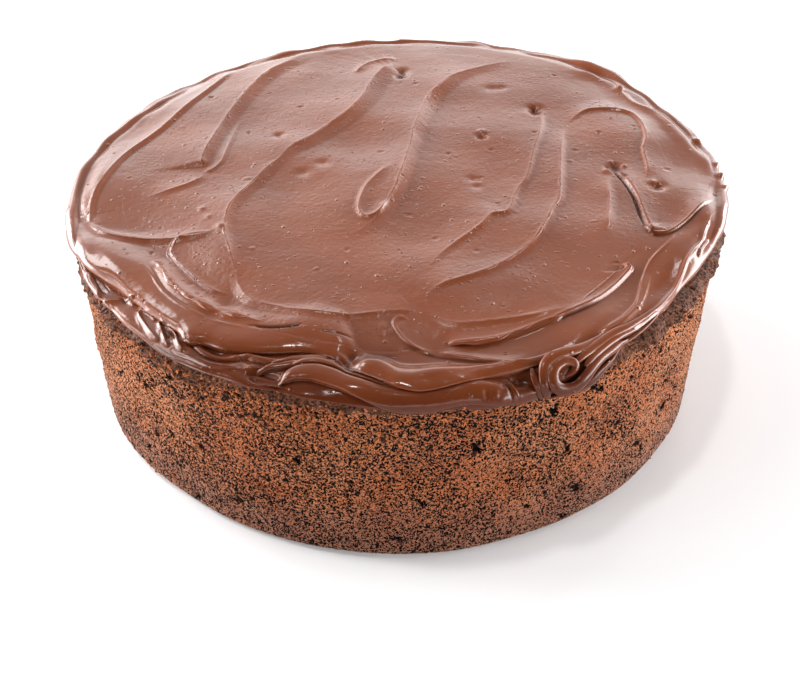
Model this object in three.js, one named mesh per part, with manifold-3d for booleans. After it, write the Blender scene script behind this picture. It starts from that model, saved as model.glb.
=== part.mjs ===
import * as THREE from 'three';
import { mergeVertices } from 'three/addons/utils/BufferGeometryUtils.js';
import Module from 'manifold-3d';

// A whole, uncut chocolate mud cake with thick icing spread over its top and folded at the rim.
// Millimetres, +Z up, the base on Z = 0 and the front towards -Y.
// A turn is an angle in degrees round the cake, from the front towards +X.

// The cake
const cakeRadius = 115;
const wallHeight = 66;
const crustHeight = 5;
const crustFlare = 1.6;
const shoulder = 5;
const domeRise = 1;
const baseRounding = 2.5;
const wallWobble = 0.5;
const slantRight = 0.029;
const slantBack = 0.025;
const cakeSegments = 72;

// The icing
const icingTop = 77;
const icingDome = 1.2;
const rimWidth = 11.5;
const rimWidestShare = 0.72;
const hemTuck = 3;
const joinGap = 0.35;
const topRings = 21;
const rimSegments = 126;
const hiddenSegments = 24;
const hiddenRadius = 98;
const hiddenHeight = 60;
const rimAngles = [18, 36, 54, 72, 90];
const underAngles = [130, 170];
const sliver = 0.08;

// The strokes in the top and the folds on the rim
const strokeSamples = 40;
const strokeFade = 0.16;
const ridgesEndFrom = 0.86;
const crestReach = 0.4;
const foldSides = 6;
const foldRings = 17;
const foldBluntness = 0.35;
const curlRings = 25;

const turnToAngle = Math.PI / 180;

// The rim's outline: [turn, radius, height of the icing's lower edge].
const rimStations = [
  [-165, 117.5, 69], [-140, 118.5, 67.5], [-115, 117, 71], [-90, 118, 70.5], [-66, 116.5, 73],
  [-50, 115.5, 71.5], [-34, 118, 70.6], [-18, 118, 71.5], [0, 118.5, 68.2], [14, 118.5, 65.3],
  [20, 118.5, 63.6], [27, 118.3, 63.8], [37, 114.5, 70.6], [50, 113, 71], [60, 113.5, 71.4],
  [73, 116.5, 72], [90, 118, 69.5], [112, 117, 68], [135, 118, 71], [160, 118.5, 68],
];

// Spatula strokes, from the back to the front, in shares of the cake's radius. A crest falls over
// its steep width on the left-hand side of someone who follows it, and eases off slowly on the
// other side. A negative height turns the steep side to the right.
const strokes = [
  {
    height: 1.5,
    steep: 4,
    gentle: 13,
    path: [[-0.59, 0.795], [-0.725, 0.475], [-0.885, 0.13], [-0.935, -0.145], [-0.915, -0.26]],
  },
  {
    height: -1.3,
    steep: 4,
    gentle: 9,
    path: [[-0.935, -0.21], [-0.845, -0.325], [-0.65, -0.365], [-0.53, -0.335]],
  },
  {
    height: 2.6,
    steep: 6,
    gentle: 22,
    path: [[-0.325, 0.905], [-0.48, 0.7], [-0.555, 0.48], [-0.61, 0.21], [-0.62, 0.035]],
  },
  {
    height: 3.2,
    steep: 7,
    gentle: 28,
    path: [[0.015, 0.745], [-0.07, 0.655], [-0.14, 0.415], [-0.295, 0.18], [-0.395, 0.035]],
  },
  {
    height: 1.4,
    steep: 5,
    gentle: 16,
    path: [[-0.32, 0.145], [-0.43, -0.03], [-0.505, -0.26], [-0.475, -0.435], [-0.415, -0.61]],
  },
  {
    height: -1,
    steep: 5,
    gentle: 12,
    path: [[-0.45, -0.535], [-0.315, -0.695], [-0.145, -0.74], [0.06, -0.7]],
  },
  {
    height: 3,
    steep: 5,
    gentle: 24,
    path: [
      [0.48, 0.75], [0.34, 0.735], [0.17, 0.58], [0.08, 0.335], [0.045, 0.125], [-0.015, -0.175],
      [-0.175, -0.415],
    ],
  },
  {
    height: 1,
    steep: 4,
    gentle: 13,
    path: [
      [0.475, 0.405], [0.465, 0.18], [0.405, -0.07], [0.33, -0.27], [0.145, -0.455], [0.07, -0.58],
    ],
  },
  {
    height: 1.4,
    steep: 4,
    gentle: 13,
    path: [[0.565, 0.26], [0.515, 0], [0.46, -0.265], [0.325, -0.5], [0.205, -0.595], [0.07, -0.695]],
  },
  {
    height: -1.2,
    steep: 4,
    gentle: 11,
    path: [[0.565, 0.26], [0.64, 0.355], [0.74, 0.36], [0.815, 0.23], [0.785, -0.02]],
  },
  {
    height: -1.4,
    steep: 4,
    gentle: 9,
    path: [[0.685, -0.005], [0.71, -0.125], [0.73, -0.3], [0.735, -0.385]],
  },
  {
    height: -1.5,
    steep: 4,
    gentle: 10,
    path: [[0.72, -0.345], [0.785, -0.381], [0.896, -0.266], [0.985, -0.14]],
  },
  {
    height: -1.8,
    steep: 4,
    gentle: 11,
    path: [[0.114, -0.829], [0.27, -0.813], [0.434, -0.737], [0.584, -0.62], [0.648, -0.54]],
  },
  {
    height: -1.2,
    steep: 4,
    gentle: 6,
    path: [[-0.69, -0.46], [-0.618, -0.58], [-0.501, -0.69], [-0.34, -0.76]],
  },
  {
    height: 1.2,
    steep: 4,
    gentle: 8,
    path: [[0.635, 0.73], [0.75, 0.615], [0.815, 0.405], [0.95, 0.18], [0.96, 0.015]],
  },
];

// Folds of icing along the rim: half width, half height, and a path of [turn, radius, height].
const folds = [
  {
    wide: 4.4,
    tall: 3.4,
    path: [
      [-70, 108, 76], [-60, 109, 75.5], [-48, 107, 76.5], [-36, 109, 75], [-26, 108, 75.5],
      [-14, 106.5, 76], [-4, 110.5, 74.5], [3, 113, 72],
    ],
  },
  {
    wide: 2.6,
    tall: 3.6,
    path: [
      [-62, 113, 74.5], [-50, 113.5, 74], [-38, 116, 73], [-27, 116.5, 73], [-17, 115.5, 74],
      [-8, 114, 74.5],
    ],
  },
  {
    wide: 2.8,
    tall: 3.4,
    path: [[-20, 116, 71.5], [-13, 115, 74], [-6, 116, 73], [1, 117, 71.5], [9, 117.5, 70]],
  },
  { wide: 3.8, tall: 2.8, path: [[-4, 109, 76], [6, 109.5, 76], [14, 111, 75.2], [21, 113, 73.5]] },
  { wide: 2.2, tall: 3, path: [[-10, 117.3, 70.5], [2, 118, 69], [12, 118.3, 68.2], [21, 118, 68]] },
  {
    wide: 2.6,
    tall: 2.4,
    path: [
      [26, 115.5, 74], [34, 112.5, 75], [44, 109.5, 75], [55, 108, 75.5], [66, 110, 76],
      [74, 109, 77],
    ],
  },
  { wide: 3.4, tall: 3.2, path: [[62, 112, 75], [76, 115.5, 73], [92, 116.5, 72], [108, 115, 73.5]] },
  { wide: 3.6, tall: 3.2, path: [[104, 112, 75.5], [122, 113.5, 74], [140, 112, 75.5], [152, 110, 76.5]] },
  { wide: 3, tall: 3.4, path: [[128, 116, 71.5], [148, 116.8, 70.5], [166, 117, 71], [180, 115, 73]] },
  { wide: 3.8, tall: 3, path: [[160, 110, 76], [176, 112, 75], [196, 112.5, 74.5], [212, 110, 76]] },
  { wide: 3, tall: 3.6, path: [[200, 115.5, 72], [218, 117, 70.5], [238, 115.5, 72.5], [250, 113.5, 74]] },
  { wide: 3.4, tall: 2.8, path: [[236, 110, 76], [254, 113, 74.5], [272, 113.5, 74.5], [288, 111, 76]] },
  { wide: 3, tall: 2.6, path: [[115, 108.5, 74.5], [123.5, 109, 76.4], [131, 108.5, 75]] },
];

// The icing's end, rolled up into a small spiral against the rim.
const curl = {
  turn: 24.6,
  radius: 116.4,
  height: 73.2,
  outer: 4.7,
  inner: 1.2,
  coils: 1.6,
  thick: 1.9,
  steps: 14,
};

// The cake slants a little: its heights grow towards the right and the back.
function slanted(x, y, height) {
  const share = height / (wallHeight + crustHeight);
  return new THREE.Vector3(x, y, height + (slantRight * x + slantBack * y) * share);
}

function place(turn, radius, height) {
  const angle = turn * turnToAngle;
  return slanted(radius * Math.sin(angle), -radius * Math.cos(angle), height);
}

// A column of the rim's table at a turn, eased from each station to the next.
function rimValue(turn, column) {
  for (let i = 0; i < rimStations.length; i += 1) {
    const from = rimStations[i];
    const to = rimStations[(i + 1) % rimStations.length];
    const span = (to[0] - from[0] + 360) % 360;
    const past = (turn - from[0] + 720) % 360;
    if (past <= span) {
      const share = THREE.MathUtils.smoothstep(past / span, 0, 1);
      return THREE.MathUtils.lerp(from[column], to[column], share);
    }
  }
  return rimStations[0][column];
}

const rimRadius = (turn) => rimValue(turn, 1);
const hemHeight = (turn) => rimValue(turn, 2);

// Joins two rings of any counts with triangles; the second ring lies further along the skin.
function stitch(faces, first, second) {
  let i = 0;
  let j = 0;
  while (i < first.length || j < second.length) {
    const a = first[i % first.length];
    const b = second[j % second.length];
    if (i < first.length && (i + 1) / first.length <= (j + 1) / second.length) {
      i += 1;
      if (first.length > 1) faces.push(a, b, first[i % first.length]);
    } else {
      j += 1;
      if (second.length > 1) faces.push(a, b, second[j % second.length]);
    }
  }
}

// A closed body from rings of points, the first and last of them a single point.
function closedBody(rings) {
  const positions = [];
  const faces = [];
  const numbered = rings.map((ring) => ring.map((point) => {
    positions.push(point.x, point.y, point.z);
    return positions.length / 3 - 1;
  }));
  for (let k = 0; k + 1 < numbered.length; k += 1) stitch(faces, numbered[k], numbered[k + 1]);
  const geometry = new THREE.BufferGeometry();
  geometry.setAttribute('position', new THREE.Float32BufferAttribute(positions, 3));
  geometry.setIndex(faces);
  return geometry;
}

function ringOfPoints(count, pointAt) {
  return Array.from({ length: count }, (_, i) => pointAt((360 * i) / count - 180));
}

// [radius, height] of the cake's outline, from the middle of its top down to the middle of its base.
function cakeProfile() {
  const top = wallHeight + crustHeight;
  const lip = cakeRadius + crustFlare;
  return [
    [0, top + domeRise],
    [cakeRadius * 0.45, top + domeRise * 0.8],
    [cakeRadius * 0.8, top + domeRise * 0.3],
    [cakeRadius - shoulder, top],
    [lip - shoulder * 0.35, top - shoulder * 0.22],
    [lip, top - shoulder * 0.75],
    [lip - crustFlare * 0.3, wallHeight + 1],
    [cakeRadius, wallHeight - 1],
    [cakeRadius, wallHeight * 0.66],
    [cakeRadius, wallHeight * 0.33],
    [cakeRadius, baseRounding],
    [cakeRadius - baseRounding * 0.3, baseRounding * 0.3],
    [cakeRadius - baseRounding, 0],
    [0, 0],
  ];
}

// The profile moved outwards by a distance, square to its own line; the base stays flat.
function grownProfile(profile, grow) {
  return profile.map(([radius, height], i) => {
    const before = profile[Math.max(i - 1, 0)];
    const after = profile[Math.min(i + 1, profile.length - 1)];
    const outward = new THREE.Vector2(before[1] - after[1], after[0] - before[0]).normalize();
    if (radius === 0) return [0, height + Math.sign(height) * grow];
    return [radius + outward.x * grow, height + Math.max(outward.y, 0) * grow];
  });
}

function wobbleAt(turn) {
  const angle = turn * turnToAngle;
  const slow = Math.sin(2 * angle + 0.7);
  const middle = 0.7 * Math.sin(6 * angle + 2);
  const quick = 0.4 * Math.sin(11 * angle);
  return wallWobble * (slow + middle + quick);
}

function cakeBody(grow) {
  return closedBody(grownProfile(cakeProfile(), grow).map(([radius, height]) => {
    if (radius === 0) return [place(0, 0, height)];
    return ringOfPoints(cakeSegments, (turn) => place(turn, radius + wobbleAt(turn), height));
  }));
}

for (const stroke of strokes) {
  const corners = stroke.path.map(([x, y]) => new THREE.Vector3(x * cakeRadius, y * cakeRadius, 0));
  stroke.line = new THREE.CatmullRomCurve3(corners).getSpacedPoints(strokeSamples);
}

// The spot of a stroke nearest to a point: how far off it is, how far to the left, and where.
function nearestOn(stroke, x, y) {
  let best = { distance: Infinity };
  for (let i = 0; i < strokeSamples; i += 1) {
    const a = stroke.line[i];
    const along = new THREE.Vector2(stroke.line[i + 1].x - a.x, stroke.line[i + 1].y - a.y);
    const past = ((x - a.x) * along.x + (y - a.y) * along.y) / along.lengthSq();
    const share = THREE.MathUtils.clamp(past, 0, 1);
    const foot = new THREE.Vector2(a.x + along.x * share, a.y + along.y * share);
    const distance = Math.hypot(x - foot.x, y - foot.y);
    if (distance < best.distance) {
      const left = Math.sign(along.x * (y - foot.y) - along.y * (x - foot.x)) * distance;
      best = { distance, left, foot, share: (i + share) / strokeSamples };
    }
  }
  return best;
}

function strokeRise(stroke, x, y) {
  const { left, share } = nearestOn(stroke, x, y);
  const start = THREE.MathUtils.smoothstep(share, 0, strokeFade);
  const end = THREE.MathUtils.smoothstep(1 - share, 0, strokeFade);
  const beyond = left * Math.sign(stroke.height);
  const side = beyond > 0
    ? 1 - THREE.MathUtils.smoothstep(beyond, 0, stroke.steep)
    : Math.max(0, 1 + beyond / stroke.gentle) ** 2;
  return Math.abs(stroke.height) * start * end * side;
}

function topHeight(x, y) {
  const share = Math.hypot(x, y) / cakeRadius;
  const ridges = strokes.reduce((sum, stroke) => sum + strokeRise(stroke, x, y), 0);
  const dome = icingDome * (1 - share * share);
  return icingTop + dome + ridges * (1 - THREE.MathUtils.smoothstep(share, ridgesEndFrom, 1));
}

// A point of the top's grid, drawn onto a crest that passes close by.
function drawnToCrest(x, y, reach) {
  for (const stroke of strokes) {
    const { distance, share, foot } = nearestOn(stroke, x, y);
    if (distance < reach && share > 0 && share < 1) return foot;
  }
  return new THREE.Vector2(x, y);
}

// One ring of the top; each ring has six points more than the one inside it.
function topRing(k) {
  if (k === 0) return [slanted(0, 0, topHeight(0, 0))];
  const reach = (crestReach * (cakeRadius - rimWidth)) / topRings;
  return ringOfPoints(6 * k, (turn) => {
    const { x, y } = place(turn, ((rimRadius(turn) - rimWidth) * k) / topRings, 0);
    const spot = k < topRings ? drawnToCrest(x, y, reach) : { x, y };
    return slanted(spot.x, spot.y, topHeight(spot.x, spot.y));
  });
}

// One ring of the rim at an angle of its bend: 0 is on top, 90 the widest and 180 underneath.
function rimRing(angle) {
  const bend = angle * turnToAngle;
  return ringOfPoints(rimSegments, (turn) => {
    const outer = rimRadius(turn);
    const hem = hemHeight(turn);
    const inner = place(turn, outer - rimWidth, 0);
    const top = topHeight(inner.x, inner.y);
    const widest = top - (top - hem) * rimWidestShare;
    const depth = angle <= 90 ? top - widest : widest - hem;
    const inward = angle <= 90 ? rimWidth : hemTuck;
    return place(turn, outer - inward * (1 - Math.sin(bend)), widest + depth * Math.cos(bend));
  });
}

// The stroked top, the bulging rim and a plain underside that lies inside the cake.
function icingBody() {
  const rings = Array.from({ length: topRings + 1 }, (_, k) => topRing(k));
  rings.push(...[...rimAngles, ...underAngles].map(rimRing));
  rings.push(ringOfPoints(hiddenSegments, (turn) => place(turn, hiddenRadius, hiddenHeight)));
  rings.push([place(0, 0, hiddenHeight)]);
  return closedBody(rings);
}

// A sphere drawn out along a path, so that it narrows to a point at both ends.
function taperedRope(points, wide, tall, rings) {
  const curve = new THREE.CatmullRomCurve3(points);
  const sphere = new THREE.SphereGeometry(1, foldSides, rings);
  sphere.deleteAttribute('normal');
  sphere.deleteAttribute('uv');
  const rope = mergeVertices(sphere);
  const spots = rope.attributes.position;
  for (let i = 0; i < spots.count; i += 1) {
    const across = new THREE.Vector2(spots.getX(i), spots.getZ(i));
    if (across.length() > Number.EPSILON) across.setLength(across.length() ** (1 - foldBluntness));
    const share = Math.acos(THREE.MathUtils.clamp(-spots.getY(i), -1, 1)) / Math.PI;
    const spot = curve.getPointAt(share);
    const outward = new THREE.Vector3(spot.x, spot.y, 0).normalize();
    const upward = new THREE.Vector3().crossVectors(outward, curve.getTangentAt(share)).normalize();
    spot.addScaledVector(outward, across.x * wide).addScaledVector(upward, across.y * tall);
    spots.setXYZ(i, spot.x, spot.y, spot.z);
  }
  return rope;
}

function foldRope(fold) {
  return taperedRope(fold.path.map((spot) => place(...spot)), fold.wide, fold.tall, foldRings);
}

function curlRope() {
  const points = Array.from({ length: curl.steps + 1 }, (_, i) => {
    const share = i / curl.steps;
    const angle = Math.PI * (0.25 + 2 * curl.coils * share);
    const size = THREE.MathUtils.lerp(curl.outer, curl.inner, share);
    const sideways = (size * Math.cos(angle)) / (curl.radius * turnToAngle);
    return place(curl.turn + sideways, curl.radius + share, curl.height + size * Math.sin(angle));
  });
  return taperedRope(points, curl.thick, curl.thick, curlRings);
}

const wasm = await Module();
wasm.setup();

function solidFrom(geometry) {
  return new wasm.Manifold(new wasm.Mesh({
    numProp: 3,
    vertProperties: new Float32Array(geometry.attributes.position.array),
    triVerts: new Uint32Array(geometry.index.array),
  }));
}

function geometryFrom(solid) {
  const { vertProperties, triVerts } = solid.getMesh();
  const geometry = new THREE.BufferGeometry();
  geometry.setAttribute('position', new THREE.BufferAttribute(vertProperties, 3));
  geometry.setIndex(new THREE.BufferAttribute(triVerts, 1));
  const faceted = geometry.toNonIndexed();
  faceted.computeVertexNormals();
  return faceted;
}

// The body and its folds in one, cut back from the cake by the gap, with no pockets left inside.
function icingSolid() {
  const ropes = [...folds.map(foldRope), curlRope()].map(solidFrom);
  const whole = ropes.reduce((joined, rope) => joined.add(rope), solidFrom(icingBody()));
  const skins = whole.subtract(solidFrom(cakeBody(joinGap))).simplify(sliver).decompose();
  return skins.reduce((largest, skin) => (skin.volume() > largest.volume() ? skin : largest));
}

const sponge = new THREE.MeshStandardMaterial({ color: 0x7d4a2e, roughness: 0.95, metalness: 0 });
const chocolate = new THREE.MeshStandardMaterial({ color: 0x5f3a2c, roughness: 0.3, metalness: 0 });

const cake = new THREE.Mesh(geometryFrom(solidFrom(cakeBody(0))), sponge);
cake.name = 'cake';

const icing = new THREE.Mesh(geometryFrom(icingSolid()), chocolate);
icing.name = 'icing';

const mudCake = new THREE.Group();
mudCake.add(cake, icing);

export default mudCake;
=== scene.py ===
import math

import bpy
import numpy as np
from mathutils import Matrix, Vector


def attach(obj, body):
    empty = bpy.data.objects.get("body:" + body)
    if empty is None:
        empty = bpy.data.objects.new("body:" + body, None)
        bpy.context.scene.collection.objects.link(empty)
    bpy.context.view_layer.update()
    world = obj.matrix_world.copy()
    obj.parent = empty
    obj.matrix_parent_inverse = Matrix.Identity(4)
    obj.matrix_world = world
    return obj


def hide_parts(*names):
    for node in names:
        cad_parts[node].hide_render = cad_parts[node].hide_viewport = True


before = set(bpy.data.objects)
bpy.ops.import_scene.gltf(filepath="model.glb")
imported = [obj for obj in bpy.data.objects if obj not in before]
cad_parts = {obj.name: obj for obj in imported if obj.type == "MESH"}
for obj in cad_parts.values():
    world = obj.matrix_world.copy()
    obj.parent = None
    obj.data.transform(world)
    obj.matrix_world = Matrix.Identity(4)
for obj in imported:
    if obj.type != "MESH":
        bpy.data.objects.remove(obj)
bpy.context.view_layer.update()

# Lengths are in mm and become metres when a mesh is made. A turn is an angle in degrees round
# the cake, from the front (-Y) towards the right (+X).
perMetre = 1000
mm = 1 / perMetre
rng = np.random.default_rng(4)  # shared by the wall's pits and then the icing's bubbles

form = dict(
    cakeRadius=115.0,
    wallHeight=66.0,
    crustHeight=5.0,
    crustFlare=1.6,
    shoulder=5.0,
    domeRise=1.0,
    baseRounding=2.5,
    slantRight=0.029,  # rise of the top for each mm to the right and to the back
    slantBack=0.025,
)


# helpers that all pieces share
def smooth(value, low, high):
    share = np.clip((value - low) / (high - low), 0, 1)
    return share * share * (3 - 2 * share)


def bell(distance, width):
    return np.exp(-((distance / width) ** 2))


def slantedHeight(x, y, height):
    share = height / (form["wallHeight"] + form["crustHeight"])
    return height + (form["slantRight"] * x + form["slantBack"] * y) * share


def flatPlace(turn, radius):
    angle = np.radians(turn)
    return radius * np.sin(angle), -radius * np.cos(angle)


def place(turn, radius, height):
    x, y = flatPlace(turn, radius)
    return np.stack([x, y, slantedHeight(x, y, height)], axis=-1)


def curveThrough(points, count):
    # a Catmull-Rom curve through the points, sampled evenly along its length
    p = np.array(points, dtype=float)
    p = np.vstack([2 * p[0] - p[1], p, 2 * p[-1] - p[-2]])
    t = np.linspace(0, 1, 24, endpoint=False)[:, None]
    fine = []
    for a, b, c, d in zip(p, p[1:], p[2:], p[3:]):
        bend = 2 * b + (c - a) * t + (2 * a - 5 * b + 4 * c - d) * t**2 + (3 * b - a - 3 * c + d) * t**3
        fine.append(0.5 * bend)
    fine = np.vstack(fine + [p[-2][None]])
    steps = np.concatenate([[0], np.cumsum(np.linalg.norm(np.diff(fine, axis=0), axis=1))])
    even = np.linspace(0, steps[-1], count)
    return np.stack([np.interp(even, steps, column) for column in fine.T], axis=1)


def waves(x, y, size, seed, count=14):
    # a soft uneven field of about +-1, made of a few crossing waves of roughly that size
    pick = np.random.default_rng(seed)
    field = np.zeros_like(x)
    for _ in range(count):
        heading = pick.uniform(0, math.tau)
        length = size * pick.uniform(0.7, 1.5)
        across = x * math.cos(heading) + y * math.sin(heading)
        field += np.sin(across * math.tau / length + pick.uniform(0, math.tau))
    return field / math.sqrt(count / 2)


def bandFaces(rows, count, closed=True, first=0):
    # quads between rows of points, joined round the cake or left open at both ends
    faces = []
    for row in range(rows - 1):
        a = first + row * count
        b = a + count
        for c in range(count if closed else count - 1):
            d = (c + 1) % count
            faces.append((a + c, b + c, b + d, a + d))
    return faces


def fanFaces(hub, first, count, facingDown=False):
    # triangles from one point to a ring of points
    faces = []
    for c in range(count):
        a, b = first + c, first + (c + 1) % count
        faces.append((hub, b, a) if facingDown else (hub, a, b))
    return faces


def addObject(name, data):
    holder = bpy.data.objects.new(name, data)
    bpy.context.scene.collection.objects.link(holder)
    return holder


def report(piece):
    triangles = sum(len(face.vertices) - 2 for face in piece.data.polygons)
    print(piece.name, len(piece.data.vertices), "points", triangles, "triangles")
    return piece


def meshPiece(name, vertices, faces, material):
    mesh = bpy.data.meshes.new(name)
    mesh.from_pydata([tuple(spot) for spot in vertices * mm], [], faces)
    mesh.update()
    mesh.shade_smooth()
    mesh.materials.append(material)
    return report(addObject(name, mesh))


def pointsOf(mesh):
    spots = np.empty(len(mesh.vertices) * 3, dtype=np.float32)
    mesh.vertices.foreach_get("co", spots)
    return spots.reshape(-1, 3) * perMetre


def setLayer(mesh, name, values):
    # a number or a direction for each point of the mesh
    values = np.asarray(values, dtype=np.float32)
    kind, field = ("FLOAT", "value") if values.ndim == 1 else ("FLOAT_VECTOR", "vector")
    mesh.attributes.new(name, kind, "POINT").data.foreach_set(field, values.ravel())


class NodeSheet:
    # short ways to add nodes to a tree; a value is a fixed one or another node's output
    def __init__(self, tree):
        self.tree = tree

    def fill(self, node, values):
        for label, value in values.items():
            if isinstance(value, bpy.types.NodeSocket):
                self.tree.links.new(value, node.inputs[label])
            else:
                node.inputs[label].default_value = value

    def add(self, kind, values, output=0, **settings):
        node = self.tree.nodes.new(kind)
        for label, setting in settings.items():
            setattr(node, label, setting)
        self.fill(node, values)
        return node.outputs[output]

    def noise(self, scale, detail, rough, vector=None, distortion=0.0):
        values = {"Scale": scale, "Detail": detail, "Roughness": rough, "Distortion": distortion}
        return self.add("ShaderNodeTexNoise", {"Vector": vector or self.place, **values}, "Fac")

    def cells(self, scale, vector=None):
        return self.add("ShaderNodeTexVoronoi", {"Vector": vector or self.place, "Scale": scale}, "Distance")

    def math(self, operation, *values, clamp=False):
        return self.add("ShaderNodeMath", dict(enumerate(values)), operation=operation, use_clamp=clamp)

    def times(self, first, second):
        return self.math("MULTIPLY", first, second)

    def patches(self, scale, threshold):
        # 1 in scattered patches and 0 between them
        return self.math("GREATER_THAN", self.noise(scale, 0, 0.5), threshold)

    def vectorMath(self, operation, values, output="Vector"):
        return self.add("ShaderNodeVectorMath", values, output, operation=operation)

    def axis(self, vector, name):
        return self.add("ShaderNodeSeparateXYZ", {0: vector}, name)

    def rangeOf(self, value, low, high, outLow=0.0, outHigh=1.0):
        values = {"Value": value, "From Min": low, "From Max": high, "To Min": outLow, "To Max": outHigh}
        return self.add("ShaderNodeMapRange", values, interpolation_type="SMOOTHSTEP")

    def blend(self, share, first, second, mode="MIX"):
        pair = [(*value, 1) if isinstance(value, tuple) else value for value in (first, second)]
        values = {"Factor": share, 6: pair[0], 7: pair[1]}
        return self.add("ShaderNodeMix", values, 2, data_type="RGBA", blend_type=mode)

    def darkened(self, colour, tint):
        return self.blend(1.0, colour, tint, "MULTIPLY")

    def bump(self, height, strength, distance, under=None):
        values = {"Strength": strength, "Distance": distance, "Height": height}
        if under is not None:
            values["Normal"] = under
        return self.add("ShaderNodeBump", values)

    def attribute(self, name):
        return self.add("ShaderNodeAttribute", {}, "Fac", attribute_name=name)

    def named(self, name, kind="FLOAT"):
        return self.add("GeometryNodeInputNamedAttribute", {"Name": name}, data_type=kind)

    def stretched(self, scale, rotation):
        return self.add("ShaderNodeMapping", {"Vector": self.place, "Scale": scale, "Rotation": rotation})


def newMaterial(name):
    material = bpy.data.materials.new(name)
    material.use_nodes = True
    sheet = NodeSheet(material.node_tree)
    sheet.place = sheet.add("ShaderNodeTexCoord", {}, "Object")
    return material, sheet, material.node_tree.nodes["Principled BSDF"]


# the icing's outline and its top
icing = dict(
    top=77.0,
    dome=1.2,
    rimWidth=11.5,  # from the widest radius in to the rim's inner line
    widestShare=0.84,  # how far down from the top to the lower edge the rim is widest
    hemTuck=4.2,  # how far the lower edge turns in
    joinGap=0.3,  # between the underside and the cake
    topRings=176,
    topEdge=-6.0,  # where the top's mesh ends, in mm down from the rim's inner line
    topTuck=0.985,
    rimInner=-13.0,
    rimColumns=660,
    rimRows=62,
    frontCrowding=0.25,  # points gather towards the front
    frontDrop=3.2,  # how much the top falls off near the front rim
    unevenness=0.35,
    sink=0.6,  # how deep a mesh dives under its neighbour where they meet
    capHeight=72.6,  # underside of the top, inside the icing
    capRings=(40, 80, 90),
    relief=0.85,  # how high the strokes stand, as a share of their own heights
    lip=0.12,  # a fine raised line along each crest
    lipWidth=0.6,
    crestPull=0.55,  # how strongly and how far points are drawn to a crest
    crestWidth=2.4,
    bubbles=60,
    bubbleSize=(0.5, 1.25),
    bubbleDepths=[-0.4, -0.25, 0.25],
)

# turn, widest radius, height of the lower edge
rimStations = [
    (-165, 117.5, 69), (-140, 118.5, 67.5), (-115, 117, 71), (-90, 118, 70.5), (-66, 116.5, 73),
    (-50, 115.5, 71.5), (-34, 118, 70.6), (-18, 118, 71.5), (0, 118.5, 68.2), (14, 118.5, 65.3),
    (20, 118.5, 63.6), (27, 118.3, 63.8), (37, 114.5, 70.6), (50, 113, 71), (60, 113.5, 71.4),
    (73, 116.5, 72), (90, 118, 69.5), (112, 117, 68), (135, 118, 71), (160, 118.5, 68),
]


# A crest falls over its steep width on the left of someone who follows it and eases off over its
# gentle width on the other side; a negative height swaps the sides. Two steep widths stand for
# start and end. A thread is the radius of a fine strand on the crest, and a foot is how far beside
# the crest a second one lies. A groove cuts in instead of rising.
def crest(height, steep, gentle, path, fade=(0.2, 0.2), **more):
    steep = steep if isinstance(steep, tuple) else (steep, steep)
    return dict(height=height, steep=steep, gentle=gentle, path=path, fade=fade, **more)


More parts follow.
